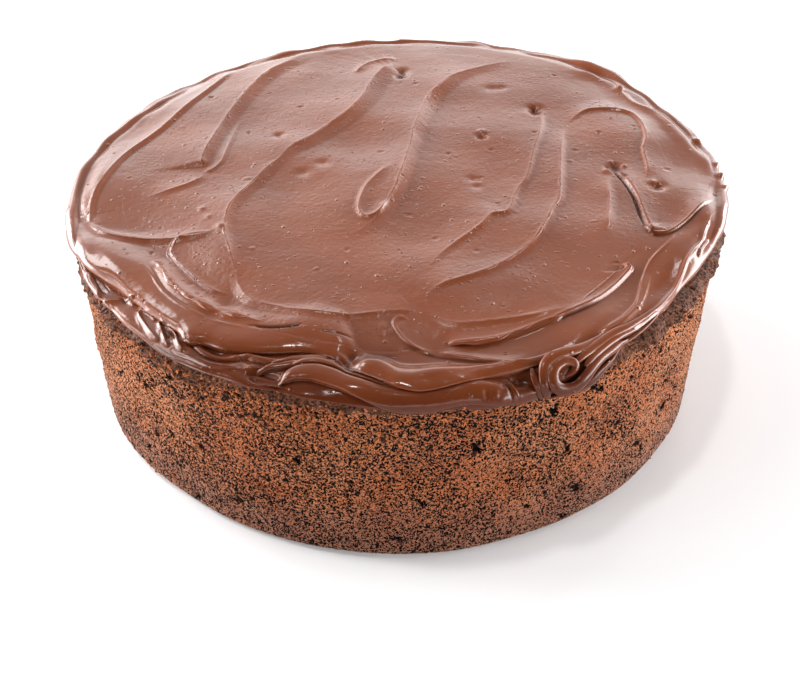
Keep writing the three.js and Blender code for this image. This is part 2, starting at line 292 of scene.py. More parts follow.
# spatula strokes, drawn from the back to the front in shares of the cake's radius
strokes = [
    crest(1.2, (1.8, 2), 11, [
        (-0.59, 0.795), (-0.66, 0.62), (-0.725, 0.475), (-0.8, 0.3), (-0.885, 0.13), (-0.925, -0.04),
        (-0.935, -0.145), (-0.915, -0.26)], (0.2, 0.05)),
    crest(-1.3, 3, 8, [
        (-0.935, -0.21), (-0.895, -0.285), (-0.845, -0.325), (-0.75, -0.35), (-0.65, -0.365),
        (-0.575, -0.365), (-0.53, -0.335)], (0.12, 0.2)),
    crest(1.9, (7, 4), 22, [
        (-0.325, 0.905), (-0.415, 0.8), (-0.48, 0.7), (-0.52, 0.6), (-0.555, 0.48), (-0.585, 0.355),
        (-0.61, 0.21), (-0.625, 0.095), (-0.62, 0.035)], (0.25, 0.03)),
    crest(0.55, 1, 4, [
        (-0.535, 0.365), (-0.555, 0.11), (-0.565, 0.055), (-0.595, 0.01), (-0.62, 0.03)], (0.3, 0.1)),
    crest(0.7, 3, 14, [
        (-0.6, 0.01), (-0.635, -0.05), (-0.71, -0.1), (-0.775, -0.135)], (0.3, 0.4), lip=0.1),
    crest(2.4, (9, 4), 30, [
        (0.015, 0.745), (-0.03, 0.73), (-0.07, 0.655), (-0.095, 0.575), (-0.115, 0.49), (-0.14, 0.415),
        (-0.175, 0.35), (-0.24, 0.26), (-0.295, 0.18), (-0.34, 0.13), (-0.395, 0.035)], (0.1, 0.2)),
    crest(1.4, (5, 3), 16, [
        (-0.32, 0.145), (-0.395, 0.035), (-0.43, -0.03), (-0.49, -0.17), (-0.505, -0.26), (-0.5, -0.345),
        (-0.475, -0.435), (-0.445, -0.53), (-0.415, -0.61)], (0.25, 0.3), thread=0.28),
    crest(-1.0, (2.4, 3), 12, [
        (-0.45, -0.535), (-0.405, -0.64), (-0.315, -0.695), (-0.235, -0.725), (-0.145, -0.74),
        (-0.05, -0.73), (0.035, -0.72), (0.06, -0.7)], (0.25, 0.12), thread=0.18),
    crest(1.0, 3, 6, [
        (-0.15, 0.68), (-0.135, 0.725), (-0.1, 0.77), (-0.03, 0.805), (0.005, 0.79)], (0.2, 0.3)),
    crest(2.5, (6, 4), 24, [
        (0.48, 0.75), (0.41, 0.755), (0.34, 0.735), (0.27, 0.69), (0.21, 0.64), (0.17, 0.58),
        (0.135, 0.52), (0.105, 0.45), (0.08, 0.335), (0.055, 0.22), (0.045, 0.125), (0.005, -0.1),
        (-0.015, -0.175), (-0.065, -0.305), (-0.12, -0.365), (-0.175, -0.415)], (0.32, 0.25)),
    crest(-0.8, 2, 5, [
        (-0.01, 0.015), (-0.045, -0.04), (-0.09, -0.12), (-0.11, -0.205), (-0.11, -0.26), (-0.09, -0.29),
        (-0.055, -0.27), (-0.02, -0.2)], (0.2, 0.1)),
    crest(1.0, 2.2, 13, [
        (0.475, 0.405), (0.485, 0.295), (0.465, 0.18), (0.44, 0.085), (0.405, -0.07), (0.365, -0.155),
        (0.33, -0.27), (0.28, -0.29), (0.245, -0.345), (0.145, -0.455), (0.1, -0.525),
        (0.07, -0.58)], (0.06, 0.2)),
    crest(1.25, (2.4, 3), 13, [
        (0.565, 0.26), (0.54, 0.165), (0.515, 0), (0.49, -0.185), (0.46, -0.265), (0.425, -0.355),
        (0.385, -0.43), (0.325, -0.5), (0.265, -0.555), (0.205, -0.595), (0.11, -0.64),
        (0.07, -0.695)], (0.15, 0.1), thread=0.3),
    crest(-1.0, 1.3, 11, [
        (0.565, 0.26), (0.595, 0.31), (0.64, 0.355), (0.695, 0.365), (0.74, 0.36), (0.785, 0.335),
        (0.805, 0.295), (0.815, 0.23), (0.81, 0.155), (0.79, 0.08), (0.785, -0.02),
        (0.77, -0.105)], (0.2, 0.15)),
    crest(-1.0, (0.8, 0.7), 9, [
        (0.683, 0), (0.69, -0.045), (0.71, -0.11), (0.724, -0.2), (0.728, -0.3),
        (0.735, -0.385)], (0.25, 0.04), thread=0),
    crest(1.2, (1.6, 0.5), 0.9, [
        (0.668, -0.005), (0.677, -0.05), (0.698, -0.115), (0.713, -0.2), (0.717, -0.3),
        (0.727, -0.38)], (0.2, 0.25), lip=0, groove=True),
    crest(-1.0, (0.5, 1.0), 10, [
        (0.72, -0.345), (0.726, -0.37), (0.742, -0.388), (0.785, -0.381), (0.837, -0.334), (0.896, -0.266),
        (0.956, -0.195), (0.985, -0.14)], (0.04, 0.2), thread=0.2),
    crest(1.1, 3, 10, [
        (0.67, -0.06), (0.645, -0.13), (0.635, -0.22), (0.62, -0.3), (0.605, -0.365),
        (0.595, -0.425)], (0.3, 0.3)),
    crest(-1.6, (1.4, 1.2), 11, [
        (0.114, -0.829), (0.191, -0.831), (0.27, -0.813), (0.351, -0.778), (0.434, -0.737),
        (0.521, -0.682), (0.584, -0.62), (0.634, -0.56), (0.648, -0.54), (0.642, -0.524),
        (0.622, -0.526)], (0.1, 0.03), thread=0.7, foot=1.9, lip=0.15, threadFade=(0.06, 0.3)),
    crest(-0.7, 1.4, 7, [
        (-0.53, -0.34), (-0.6, -0.355), (-0.635, -0.375), (-0.642, -0.42), (-0.61, -0.48), (-0.55, -0.555),
        (-0.5, -0.605), (-0.44, -0.63)], (0.15, 0.15), thread=0.3, foot=1.4),
    crest(-1.6, (2.8, 3.4), 6, [
        (-0.69, -0.46), (-0.672, -0.489), (-0.649, -0.527), (-0.618, -0.58), (-0.581, -0.625),
        (-0.543, -0.66), (-0.501, -0.69), (-0.452, -0.717), (-0.403, -0.735),
        (-0.34, -0.76)], (0.12, 0.2), bead=0.2, thread=0.65, threadFade=(0.35, 0.05), threadTo=-1.5),
    crest(-0.6, 1, 5, [
        (0.03, -0.748), (0.012, -0.742), (-0.005, -0.756), (0, -0.783), (0.016, -0.812), (0.041, -0.84),
        (0.072, -0.862), (0.105, -0.88)], (0.1, 0.2), thread=0.24),
    crest(0.7, 0.7, 0.9, [
        (-0.4, -0.765), (-0.33, -0.783), (-0.277, -0.786),
        (-0.24, -0.782)], (0.3, 0.1), lip=0, groove=True),
    crest(0.4, 0.6, 0.8, [
        (-0.205, -0.802), (-0.158, -0.814), (-0.1, -0.822)], (0.3, 0.3), lip=0, groove=True),
    crest(-0.8, 3, 8, [
        (0.07, -0.71), (0.14, -0.765), (0.265, -0.755), (0.375, -0.735), (0.465, -0.705)], (0.2, 0.3)),
    crest(-0.8, 2.5, 6, [
        (0.1, -0.863), (0.165, -0.888), (0.235, -0.903), (0.325, -0.908), (0.41, -0.908)], (0.15, 0.3)),
    crest(1.2, 3, 8, [
        (0.635, 0.73), (0.69, 0.66), (0.75, 0.615), (0.775, 0.555), (0.79, 0.48), (0.815, 0.405),
        (0.875, 0.35), (0.915, 0.265), (0.95, 0.18), (0.965, 0.1), (0.96, 0.015)], (0.15, 0.2)),
]

# small dents and bumps: x and y in shares of the cake's radius, size in mm, height in mm
dimples = [
    (-0.035, -0.775, 1.5, 0.5), (-0.012, -0.793, 1.0, 0.4), (0.015, 0.66, 2.2, -2.2),
    (0.02, 0.695, 2.4, -1.4), (0.28, 0.19, 2.0, -1.2), (0.28, 0.215, 1.4, 0.8), (0.475, 0.385, 2.6, -2.4),
    (0.475, 0.35, 2.0, -1.4), (0.795, -0.135, 2.4, -1.4), (0.785, -0.115, 1.6, 0.8),
    (0.335, 0.545, 2.6, -0.7), (0.37, 0.545, 2.0, -0.6), (-0.39, 0.22, 2.0, -0.8),
    (-0.585, -0.215, 1.2, 0.5), (-0.56, -0.265, 1.2, 0.4), (-0.515, -0.325, 1.4, 0.7),
    (0.86, 0.565, 3.0, 2.4), (-0.235, 0.04, 2.4, -0.6), (-0.295, -0.015, 2.6, -0.6),
    (0.235, -0.075, 2.0, -0.6), (0.245, -0.12, 1.8, -0.5), (0.688, -0.02, 2.4, -1.4),
    (0.655, -0.045, 1.4, 0.7), (0.7, -0.085, 1.0, -0.7), (0.712, -0.012, 0.9, 0.7),
    (0.675, 0.012, 0.7, 0.6), (0.692, 0.004, 0.6, -0.5), (0.66, -0.015, 0.6, -0.5),
]

# clefts and undercuts too narrow for light, darkened with painted shade: half the width in mm and the depth
# of the painted shade
clefts = [
    dict(width=0.5, shade=0.85, fade=(0.2, 0.35), path=[
        (0.67, -0.01), (0.678, -0.05), (0.699, -0.115), (0.715, -0.2), (0.72, -0.3), (0.729, -0.375)]),
    dict(width=0.9, shade=0.8, fade=(0.15, 0.6), path=[
        (0.722, -0.36), (0.736, -0.392), (0.762, -0.398), (0.8, -0.378)]),
    dict(width=2.0, shade=0.55, fade=(0.3, 0.5), path=[
        (0.665, 0.012), (0.684, -0.015), (0.698, -0.06), (0.706, -0.12)]),
    dict(width=0.4, shade=0.75, fade=(0.02, 0.4), path=[
        (0.724, -0.365), (0.74, -0.396), (0.785, -0.39), (0.84, -0.343), (0.898, -0.274), (0.96, -0.2)]),
    dict(width=0.8, shade=0.75, fade=(0.3, 0.1), path=[
        (-0.4, -0.765), (-0.33, -0.783), (-0.277, -0.786), (-0.24, -0.782)]),
    dict(width=0.6, shade=0.5, fade=(0.3, 0.3), path=[(-0.205, -0.802), (-0.158, -0.814), (-0.1, -0.822)]),
    dict(width=0.6, shade=0.7, fade=(0.1, 0.25), path=[
        (0.114, -0.837), (0.191, -0.84), (0.272, -0.822), (0.353, -0.787), (0.438, -0.745),
        (0.526, -0.689), (0.591, -0.626)]),
    dict(width=3.2, shade=0.5, fade=(0.3, 0.35), path=[
        (0.02, -0.878), (-0.03, -0.885), (-0.075, -0.9), (-0.1, -0.922)]),
    dict(width=0.7, shade=0.6, fade=(0.2, 0.3), path=[
        (0.01, -0.812), (0.035, -0.845), (0.067, -0.868), (0.105, -0.885), (0.165, -0.9), (0.235, -0.912),
        (0.31, -0.915)]),
]


def onTop(item):
    return np.array(item["path"]) * form["cakeRadius"]


def nearPath(path, x, y, reach):
    low, high = path.min(axis=0) - reach, path.max(axis=0) + reach
    return (x > low[0]) & (x < high[0]) & (y > low[1]) & (y < high[1])


def nearestOn(path, x, y, samples=72):
    # distance to the path, distance to its left, share of its length and the nearest spot
    line = curveThrough(path, samples)
    best = np.zeros((5, *x.shape))
    best[0] = 1e9
    for i in range(samples - 1):
        start, along = line[i], line[i + 1] - line[i]
        t = np.clip(((x - start[0]) * along[0] + (y - start[1]) * along[1]) / (along @ along), 0, 1)
        footX, footY = start[0] + along[0] * t, start[1] + along[1] * t
        distance = np.hypot(x - footX, y - footY)
        side = np.sign(along[0] * (y - footY) - along[1] * (x - footX))
        found = np.array([distance, side * distance, (i + t) / (samples - 1), footX, footY])
        best = np.where(distance < best[0], found, best)
    return best


def endFade(share, fade):
    start = smooth(share, 0, max(fade[0], 1e-4))
    end = smooth(1 - share, 0, max(fade[1], 1e-4))
    return start * end


def paintedShadeAt(x, y):
    # how much painted shade the clefts get, from 0 to 1, for how far they keep light out
    shade = np.zeros_like(x)
    for cleft in clefts:
        path = onTop(cleft)
        near = nearPath(path, x, y, 4)
        distance, _, share, _, _ = nearestOn(path, x[near], y[near])
        dark = cleft["shade"] * bell(distance, cleft["width"]) * endFade(share, cleft["fade"])
        shade[near] = np.maximum(shade[near], dark)
    return shade


def strokeRise(stroke, path, x, y):
    # the height that one stroke adds at each point
    near = nearPath(path, x, y, stroke["gentle"] + max(stroke["steep"]) + 2)
    _, left, share, _, _ = nearestOn(path, x[near], y[near])
    steep = stroke["steep"][0] + (stroke["steep"][1] - stroke["steep"][0]) * share
    beyond = left * np.sign(stroke["height"])
    falling = np.clip(1 - beyond / steep, 0, 1) ** 1.5
    easing = np.clip(1 + beyond / stroke["gentle"], 0, 1) ** 2.0
    raised = icing["relief"] * abs(stroke["height"]) * np.where(beyond > 0, falling, easing)
    raised += stroke.get("bead", 0) * bell(beyond - steep - 0.7, icing["lipWidth"])
    raised += stroke.get("lip", icing["lip"]) * bell(beyond, icing["lipWidth"])
    rise = np.zeros_like(x)
    rise[near] = raised * endFade(share, stroke["fade"]) * (-1 if stroke.get("groove") else 1)
    return rise


def topRise(x, y):
    # everything that the spatula leaves on the level top
    rise = icing["unevenness"] * waves(x, y, 46, 11)
    for stroke in strokes:
        rise += strokeRise(stroke, onTop(stroke), x, y)
    for dx, dy, size, height in dimples:
        distance = np.hypot(x - dx * form["cakeRadius"], y - dy * form["cakeRadius"])
        rise += height * bell(distance, size)
    return rise


def drawnTo(path, x, y, pull, width):
    # points crowd along a crest so that it is crisp
    distance, _, share, footX, footY = nearestOn(path, x, y, 48)
    strength = np.where((share > 0) & (share < 1), pull * bell(distance, width), 0)
    return x + (footX - x) * strength, y + (footY - y) * strength


def baseTop(x, y):
    share = np.hypot(x, y) / form["cakeRadius"]
    turn = np.degrees(np.arctan2(x, -y))
    inFront = smooth(turn, -95, -50) * (1 - smooth(turn, 40, 70))
    drop = icing["frontDrop"] * smooth(share, 0.66, 0.9) * inFront
    return icing["top"] + icing["dome"] * (1 - share * share) - drop


# Folds on the rim. An edge is drawn as rows of a turn, the mm down the rim from its inner line
# and the height of the icing above the edge, which bulges out and hangs a little over it. A
# fourth number is the fold's reach at that row, where it changes along the fold.
def sideFold(hang, edge, reach=5):
    # the plain folds of the sides and the back
    return dict(roll=2.4, reach=reach, hang=hang, crease=0.4, edge=edge)


folds = [
    dict(roll=7, reach=22, hang=1.2, crease=0.9, edge=[
        (-76, 12.5, 0), (-71, 11.5, 1.2), (-66, 10.2, 2.4), (-61, 8.6, 3.2), (-56, 6.4, 3.6),
        (-52, 5.2, 3.7), (-45, 4, 3.6), (-38, 2.8, 3.4), (-36, 3.4, 3.2), (-34.5, 4.8, 3), (-33, 4.4, 2.8),
        (-31, 2.4, 2.6), (-28, 2.0, 2.6), (-25.5, 0.8, 2.6), (-22, -0.8, 2.6), (-19, -2.5, 2.6),
        (-16, -4.2, 2.4), (-13, -4.6, 2.2), (-10.5, -3.4, 2.1), (-8.5, -1.3, 1.4), (-6.8, 1.2, 0.8),
        (-4.2, 2.8, 0.3), (-1, 5.4, 0)]),
    dict(roll=2.6, hang=1.2, crease=0.8, edge=[
        (-10.5, -3.4, 0, 12), (-8.5, -1.3, 0.4, 12), (-6.8, 1.2, 0.8, 11), (-4.2, 2.8, 2.0, 10),
        (-1, 5.4, 2.7, 10), (0.5, 6.9, 2.8, 10.5), (3.5, 8.1, 2.7, 11), (8, 7, 2.4, 9), (12.5, 6, 2.1, 6),
        (17, 5.7, 1.7, 4.4), (20, 5.5, 1.2, 3.4), (22.8, 5.4, 0.7, 3), (24.5, 5.4, 0, 3)]),
    dict(roll=1.4, reach=3.4, hang=0.6, crease=0.4, edge=[
        (-25, 3.2, 0), (-23, 2.8, 1), (-19, 2.6, 1.2), (-16.5, 0.3, 1.2), (-13.5, -1.6, 1.2),
        (-11, -2, 1.2), (-9, -0.6, 1), (-7.2, 1.2, 0)]),
    dict(roll=1.5, reach=4, hang=0.8, crease=0.5, edge=[
        (-21.2, 9.3, 0), (-20.2, 6.8, 1), (-19, 4.8, 1.4), (-16.2, 2.4, 1.6), (-14, 0.9, 1.6),
        (-11.5, 0.2, 1.6), (-9, 1, 1.6), (-6.8, 3, 1.5), (-4, 4.6, 1.2), (-1.5, 6.2, 0.7), (0.5, 7.4, 0)]),
    dict(roll=2.6, reach=8, hang=2.2, crease=1.1, edge=[
        (-17.2, 10.5, 0), (-16.3, 8.2, 1.4), (-14.8, 5.9, 2.2), (-12.5, 5, 2.5), (-10, 5.8, 2.5),
        (-7.8, 6.9, 2.5), (-5.5, 8.5, 2.4), (-3.2, 10.1, 2.4), (-1, 11.4, 2.3), (1.2, 12.4, 2.2),
        (3.5, 12.7, 2.1), (5.5, 12.2, 2.1), (7.8, 11.4, 2.1), (9.8, 11, 2.1), (12, 11.6, 2),
        (14.5, 12.8, 1.8), (17, 14.2, 1.5), (19.4, 15.6, 1), (21, 16.4, 0)]),
    dict(roll=1.6, reach=5, hang=0.6, crease=0.7, edge=[
        (-34.5, 4.2, 0), (-33, 4.8, 0.8), (-31, 6.2, 1.0), (-28.5, 6.4, 1.0), (-26, 5.2, 0.9),
        (-24, 3.2, 0.5), (-22.5, 1.5, 0)]),
    sideFold(1.0, [
        (66, 13, 0), (70, 12.6, 0.8), (76, 12, 1.1), (88, 12.2, 1.2), (100, 12.8, 1.2), (108, 12, 0.7),
        (112, 11.6, 0)], 7),
    sideFold(1.2, [
        (98, 10, 0), (104, 10.2, 1), (112, 10.6, 1.6), (126, 11.8, 1.8), (140, 11, 1.6), (148, 10.4, 1),
        (154, 10, 0)]),
    sideFold(1.2, [
        (122, 13.6, 0), (128, 13.2, 1.4), (136, 12.6, 2.2), (150, 13.4, 2.4), (166, 12.6, 2.2),
        (176, 13, 1), (182, 13.4, 0)]),
    sideFold(1.4, [
        (158, 10, 0), (164, 10, 1), (172, 10.2, 1.8), (188, 11.6, 2), (202, 11, 1.8), (210, 10.4, 0.9),
        (216, 10, 0)]),
    sideFold(1.2, [
        (192, 13.2, 0), (200, 12.8, 1.4), (208, 12.4, 2), (224, 13.6, 2.2), (240, 12.6, 2), (250, 13, 0.9),
        (256, 13.4, 0)]),
    sideFold(1.2, [
        (228, 10.4, 0), (236, 10.2, 1.2), (246, 10.4, 1.8), (262, 11.8, 2), (278, 11.4, 1.8),
        (288, 11.6, 0.9), (294, 12, 0)]),
]

# narrow ridges and slits on the rim, drawn like the strokes but in (turn, mm down the rim)
rimStrokes = [
    crest(1.3, 0.8, 5, [
        (-53.2, 12.4), (-52.2, 10.6), (-51.2, 8.2), (-50.2, 5.6), (-48.8, 3.2)], (0.15, 0.1)),
    crest(0.9, 0.7, 1.4, [(-47.5, 5.4), (-45.8, 4.4), (-44, 4), (-42, 4.3)]),
    crest(1.0, 0.8, 2.2, [(-47, 5.6), (-45.3, 7), (-43, 7.8), (-40.5, 8.5), (-37.8, 9)]),
    crest(1.0, 0.8, 1.8, [(-42.4, 3.6), (-40.8, 4.8), (-39, 6.2), (-37.4, 7.8), (-35.8, 9)]),
    crest(1.1, 0.6, 2.0, [
        (-41.4, 2.9), (-39.4, 3.2), (-37.4, 4), (-35.8, 5.6), (-34.4, 7.2), (-33, 7.8)], (0.15, 0.1)),
    crest(-0.9, 0.9, 1.6, [(-36, 9.6), (-32, 9.2), (-28, 9.6), (-24.6, 8.4), (-22.6, 6.6)]),
    crest(0.9, 1.0, 8, [(-62, 10.5), (-58.5, 9.6), (-56, 10.6), (-53.4, 12.2)], (0.15, 0.2)),
    crest(-0.45, 1.4, 4, [
        (26.2, 5.6), (29.2, 5.2), (33.2, 6.8), (37, 7.6), (40, 7), (42.5, 6.6), (45.2, 5.4), (48.2, 3.5),
        (51.8, 1.5)], (0.1, 0.15)),
    crest(-0.5, 0.9, 5, [
        (65.2, -0.9), (62, 0), (57.5, -1.3), (54.5, -1.5), (51.8, -0.6), (48.5, 1.4), (45.5, 3.6),
        (43, 5.4), (39, 6.4), (35.8, 6.2), (31.5, 5)], (0.15, 0.2)),
    crest(0.8, 1.1, 1.3, [
        (37.5, 10.2), (43.8, 10.5), (46.2, 10.7), (50.5, 10.5), (54, 9.3), (57.5, 7.7), (60.2, 7.6),
        (64.2, 8), (67.8, 6.6), (73, 6)], (0.15, 0.2)),
    crest(-0.8, 0.5, 1.2, [(60.4, 10.6), (62.4, 9.6), (64.6, 9.4), (66.4, 9.8)]),
]

# hollows and mounds on the rim: turn, mm down the rim, half length, half height, rise
rimDimples = [
    (-57, 9.2, 5, 1.4, -1.5), (-50.4, 6.8, 2.4, 0.8, -1.2), (-37.8, 5.4, 2.6, 1.2, -1.5),
    (-29, 3.9, 7, 1.5, -1.6), (-19.6, 8.2, 4.4, 2.0, -2.6), (-21.8, 6.2, 2.2, 1.8, 1.1),
    (-7.2, -2.8, 2.8, 4.5, -1.5), (-2.8, -2.0, 5.5, 3.0, 0.9), (6, 2.4, 7, 3.2, 0.6),
    (17.9, 8.6, 4.2, 2.6, -1.4), (11.5, 9, 9, 3, 0.6), (24.6, 10, 4.6, 4.6, 0.9),
    (123.5, 3, 1.7, 2.0, 1.6), (38, 8.4, 9, 3, 0.5), (62, 5, 9, 4, 0.8), (73, 3, 8, 4, 0.8),
    (99.8, 8.5, 1.5, 1.4, 1.3), (91, 10, 1.0, 1.0, 1.0), (87, 9.6, 1.3, 1.2, 1.6),
    (83.4, 10.6, 1.0, 0.9, 1.3), (12.4, 9.7, 0.8, 0.4, -0.45), (13.8, 10.3, 0.9, 0.4, 0.4),
    (15.2, 9.4, 0.7, 0.5, -0.45), (14.6, 11.3, 1.4, 0.35, 0.4), (16, 10.2, 0.4, 1.5, -0.6),
    (16.7, 9.2, 0.35, 1.4, 0.9),
]

# the finely folded stretch of the rim, a shell of its own over the whole spread
front = dict(
    turns=(-79, 81),
    inner=-10.0,
    columns=880,
    rows=88,
    sink=0.2,
    makeRoom=1.1,  # how deep the whole spread lies under this shell
    markPull=0.4,  # how strongly and how far points are drawn to a ridge
    markWidth=0.9,
    spineRadius=104.0,
    spineHeight=70.5,
)

rimMm = 2.04  # mm along the rim for each degree


def onRim(stroke):
    return np.array(stroke["path"]) * (rimMm, -1)


def foldAt(fold, turn):
    # mm down to the fold's edge, height above the edge and reach, at each turn
    line = curveThrough(fold["edge"], 200)
    centre = (line[0, 0] + line[-1, 0]) / 2
    wrapped = (turn - centre + 180) % 360 - 180 + centre
    height = np.interp(wrapped, line[:, 0], line[:, 2], left=0, right=0)
    reach = np.interp(wrapped, line[:, 0], line[:, 3]) if line.shape[1] > 3 else fold["reach"]
    return np.interp(wrapped, line[:, 0], line[:, 1]), np.clip(height, 0, None), reach


def foldRise(turn, down):
    # lift square to the rim and slide down it, in mm
    lift = np.zeros_like(down)
    slide = np.zeros_like(down)
    for fold in folds:
        edge, height, full = foldAt(fold, turn)
        above = edge - down
        roll = fold["roll"]
        rounded = np.sqrt(np.clip(1 - (1 - np.clip(above / roll, 0, 1)) ** 2, 0, 1))
        reach = roll + np.maximum(full - roll, 0.3) * np.clip(height / 2.4, 0.15, 1)
        easing = 1 - smooth(above, roll, reach)
        lift += height * np.where(above > 0, rounded * easing, 0)
        lip = bell(above - roll * 0.3, roll * 0.55)
        slide += fold["hang"] * np.clip(height / 2, 0, 1) * np.where(above > 0, lip, 0)
        lift -= fold["crease"] * np.clip(height, 0, 1) * np.where(above <= 0, np.exp(above / 1.1), 0)
    return lift, slide


def rimMarks(turn, down):
    # narrow ridges, slits, hollows and mounds
    rise = np.zeros_like(down)
    along = turn * rimMm
    for stroke in rimStrokes:
        rise += strokeRise(stroke, onRim(stroke), along, -down)
    for spot, depth, halfLong, halfTall, height in rimDimples:
        away = ((along - spot * rimMm) / halfLong) ** 2 + ((down - depth) / halfTall) ** 2
        rise += height * np.exp(-away)
    return rise


def rimAt(turn, column):
    # a column of the rim's stations, eased from one to the next round the cake
    rows = np.array(rimStations, dtype=float)
    starts = np.append(rows[:, 0], rows[0, 0] + 360)
    values = np.append(rows[:, column], rows[0, column])
    past = (turn - rows[0, 0]) % 360 + rows[0, 0]
    index = np.clip(np.searchsorted(starts, past, side="right") - 1, 0, len(rows) - 1)
    share = smooth(past, starts[index], starts[index + 1])
    return values[index] + (values[index + 1] - values[index]) * share


def rimOutline(turn, samples=120):
    # the rim's plain outline at each turn: radius, height and length down the outline
    outer, hem = rimAt(turn, 1), rimAt(turn, 2)
    top = baseTop(*flatPlace(turn, outer - icing["rimWidth"]))
    widest = top - (top - hem) * icing["widestShare"]
    bend = np.radians(np.linspace(0, 172, samples))[:, None]
    above = bend <= math.pi / 2
    depth = np.where(above, top - widest, widest - hem)
    inward = np.where(above, icing["rimWidth"], icing["hemTuck"])
    radius = outer - inward * (1 - np.sin(bend))
    height = widest + depth * np.cos(bend)
    steps = np.hypot(np.diff(radius, axis=0), np.diff(height, axis=0))
    return radius, height, np.vstack([0 * steps[:1], np.cumsum(steps, axis=0)])


def rimRows(columns, inner, rowCount):
    # mm down the rim for each row and column; rows crowd round each fold's edge
    full = rimOutline(columns)[2][-1]
    rows = inner + np.linspace(0, 1, rowCount)[:, None] * (full - inner)
    for fold in folds:
        edge, height, _ = foldAt(fold, columns)
        away = rows - edge
        pull = 0.5 * np.clip(height, 0, 1)
        rows = edge + away * (1 - pull * bell(away, 1.8))
    return np.minimum(np.maximum.accumulate(rows, axis=0), full), full


def frontShare(turn, down, margin, soft):
    # 1 well inside the finely folded front of the rim, 0 outside it
    first, last = front["turns"]
    sides = smooth(turn, first + margin, first + margin + soft)
    sides = sides * (1 - smooth(turn, last - margin - soft, last - margin))
    return sides * smooth(down, front["inner"] + margin * rimMm, front["inner"] + (margin + soft) * rimMm)


def skinAt(outline, length, step):
    # radius, height and way out at lengths down each outline; above its inner line it runs level
    radius, height, down = outline
    spots = np.empty((3, 2, *length.shape))
    for c in range(length.shape[1]):
        for k, shift in enumerate((0, step, -step)):
            spot = np.minimum(length[:, c] + shift, down[-1, c])
            spots[k, 0, :, c] = np.interp(spot, down[:, c], radius[:, c]) + np.minimum(spot, 0)
            spots[k, 1, :, c] = np.interp(spot, down[:, c], height[:, c])
    here, ahead, behind = spots
    across, drop = ahead - behind
    size = np.hypot(across, drop) + 1e-9
    return here[0], here[1], -drop / size, across / size


def rimSkin(turn, rows, columns, push):
    # points of the icing's skin; turn and rows are grids, columns the plain turn of each column
    outline = rimOutline(columns)
    full = outline[2][-1]
    lift, slide = foldRise(turn, rows)
    hemFade = smooth(full - rows, 0, 2.5)
    r, h, outR, outH = skinAt(outline, np.minimum(rows + slide * hemFade, full), 0.8)
    x, y = flatPlace(turn, r)
    h = np.where(rows < 0, h + baseTop(x, y) - baseTop(*flatPlace(turn, outline[0][0])), h)
    rise = topRise(x, y) * (1 - smooth(rows, 1.0, 8.0))
    soft = 0.3 * waves(turn * 2.0, rows * 1.6, 19, 5) * smooth(rows, 2, 8)
    lift = (lift + rimMarks(turn, rows) + soft) * np.clip(hemFade + 0.2, 0, 1) - push
    return place(turn, r + outR * lift, h + outH * lift + rise)


def bubblesOn(x, y):
    # small bubbles: a hollow with a raised rim, or a mound in a hollow
    rise = np.zeros_like(x)
    for _ in range(icing["bubbles"]):
        angle = rng.uniform(0, math.tau)
        reach = form["cakeRadius"] * 0.9 * math.sqrt(rng.uniform(0, 1))
        size = rng.uniform(*icing["bubbleSize"])
        depth = rng.choice(icing["bubbleDepths"]) * rng.uniform(0.5, 1.1)
        long = rng.uniform(0.7, 1.5)
        dx = (x - reach * math.sin(angle)) / long
        dy = (y + reach * math.cos(angle)) * long
        near = np.abs(dx) + np.abs(dy) < 5
        away = np.hypot(dx[near], dy[near]) / size
        rise[near] += depth * (bell(away, 1) - 0.3 * bell(away - 1.5, 0.5))
    return rise


def discGrid(rings):
    # ring k has 6k points, so the triangles are even; the shares run from 0 to 1
    turns, shares = [np.zeros(1)], [np.zeros(1)]
    faces = []
    inner, outer = 0, 1  # the first points of two neighbouring rings
    for k in range(rings):
        count = 6 * (k + 1)
        turn = np.arange(count) * (360.0 / count) - 180
        turns.append(turn - np.degrees(icing["frontCrowding"] * np.sin(np.radians(turn))))
        shares.append(np.full(count, (k + 1) / rings))
        for q in range(6):
            for i in range(k + 1):
                low = outer + (q * (k + 1) + i) % count
                beside = outer + (q * (k + 1) + i + 1) % count
                here = inner + (q * k + i) % (6 * k) if k else inner
                faces.append((here, low, beside))
                if i < k:
                    faces.append((here, beside, inner + (q * k + i + 1) % (6 * k)))
        inner, outer = outer, outer + count
    return np.concatenate(turns), np.concatenate(shares), faces


def topHeight(x, y):
    # height of the icing before the slant, and mm down from the rim's inner line
    turn = np.degrees(np.arctan2(x, -y))
    down = np.hypot(x, y) - rimAt(turn, 1) + icing["rimWidth"]
    return baseTop(x, y) + topRise(x, y) + foldRise(turn, down)[0] + rimMarks(turn, down), down


def paintShadeInClefts(piece):
    x, y, _ = pointsOf(piece.data).T
    setLayer(piece.data, "shade", paintedShadeAt(x, y))
    return piece


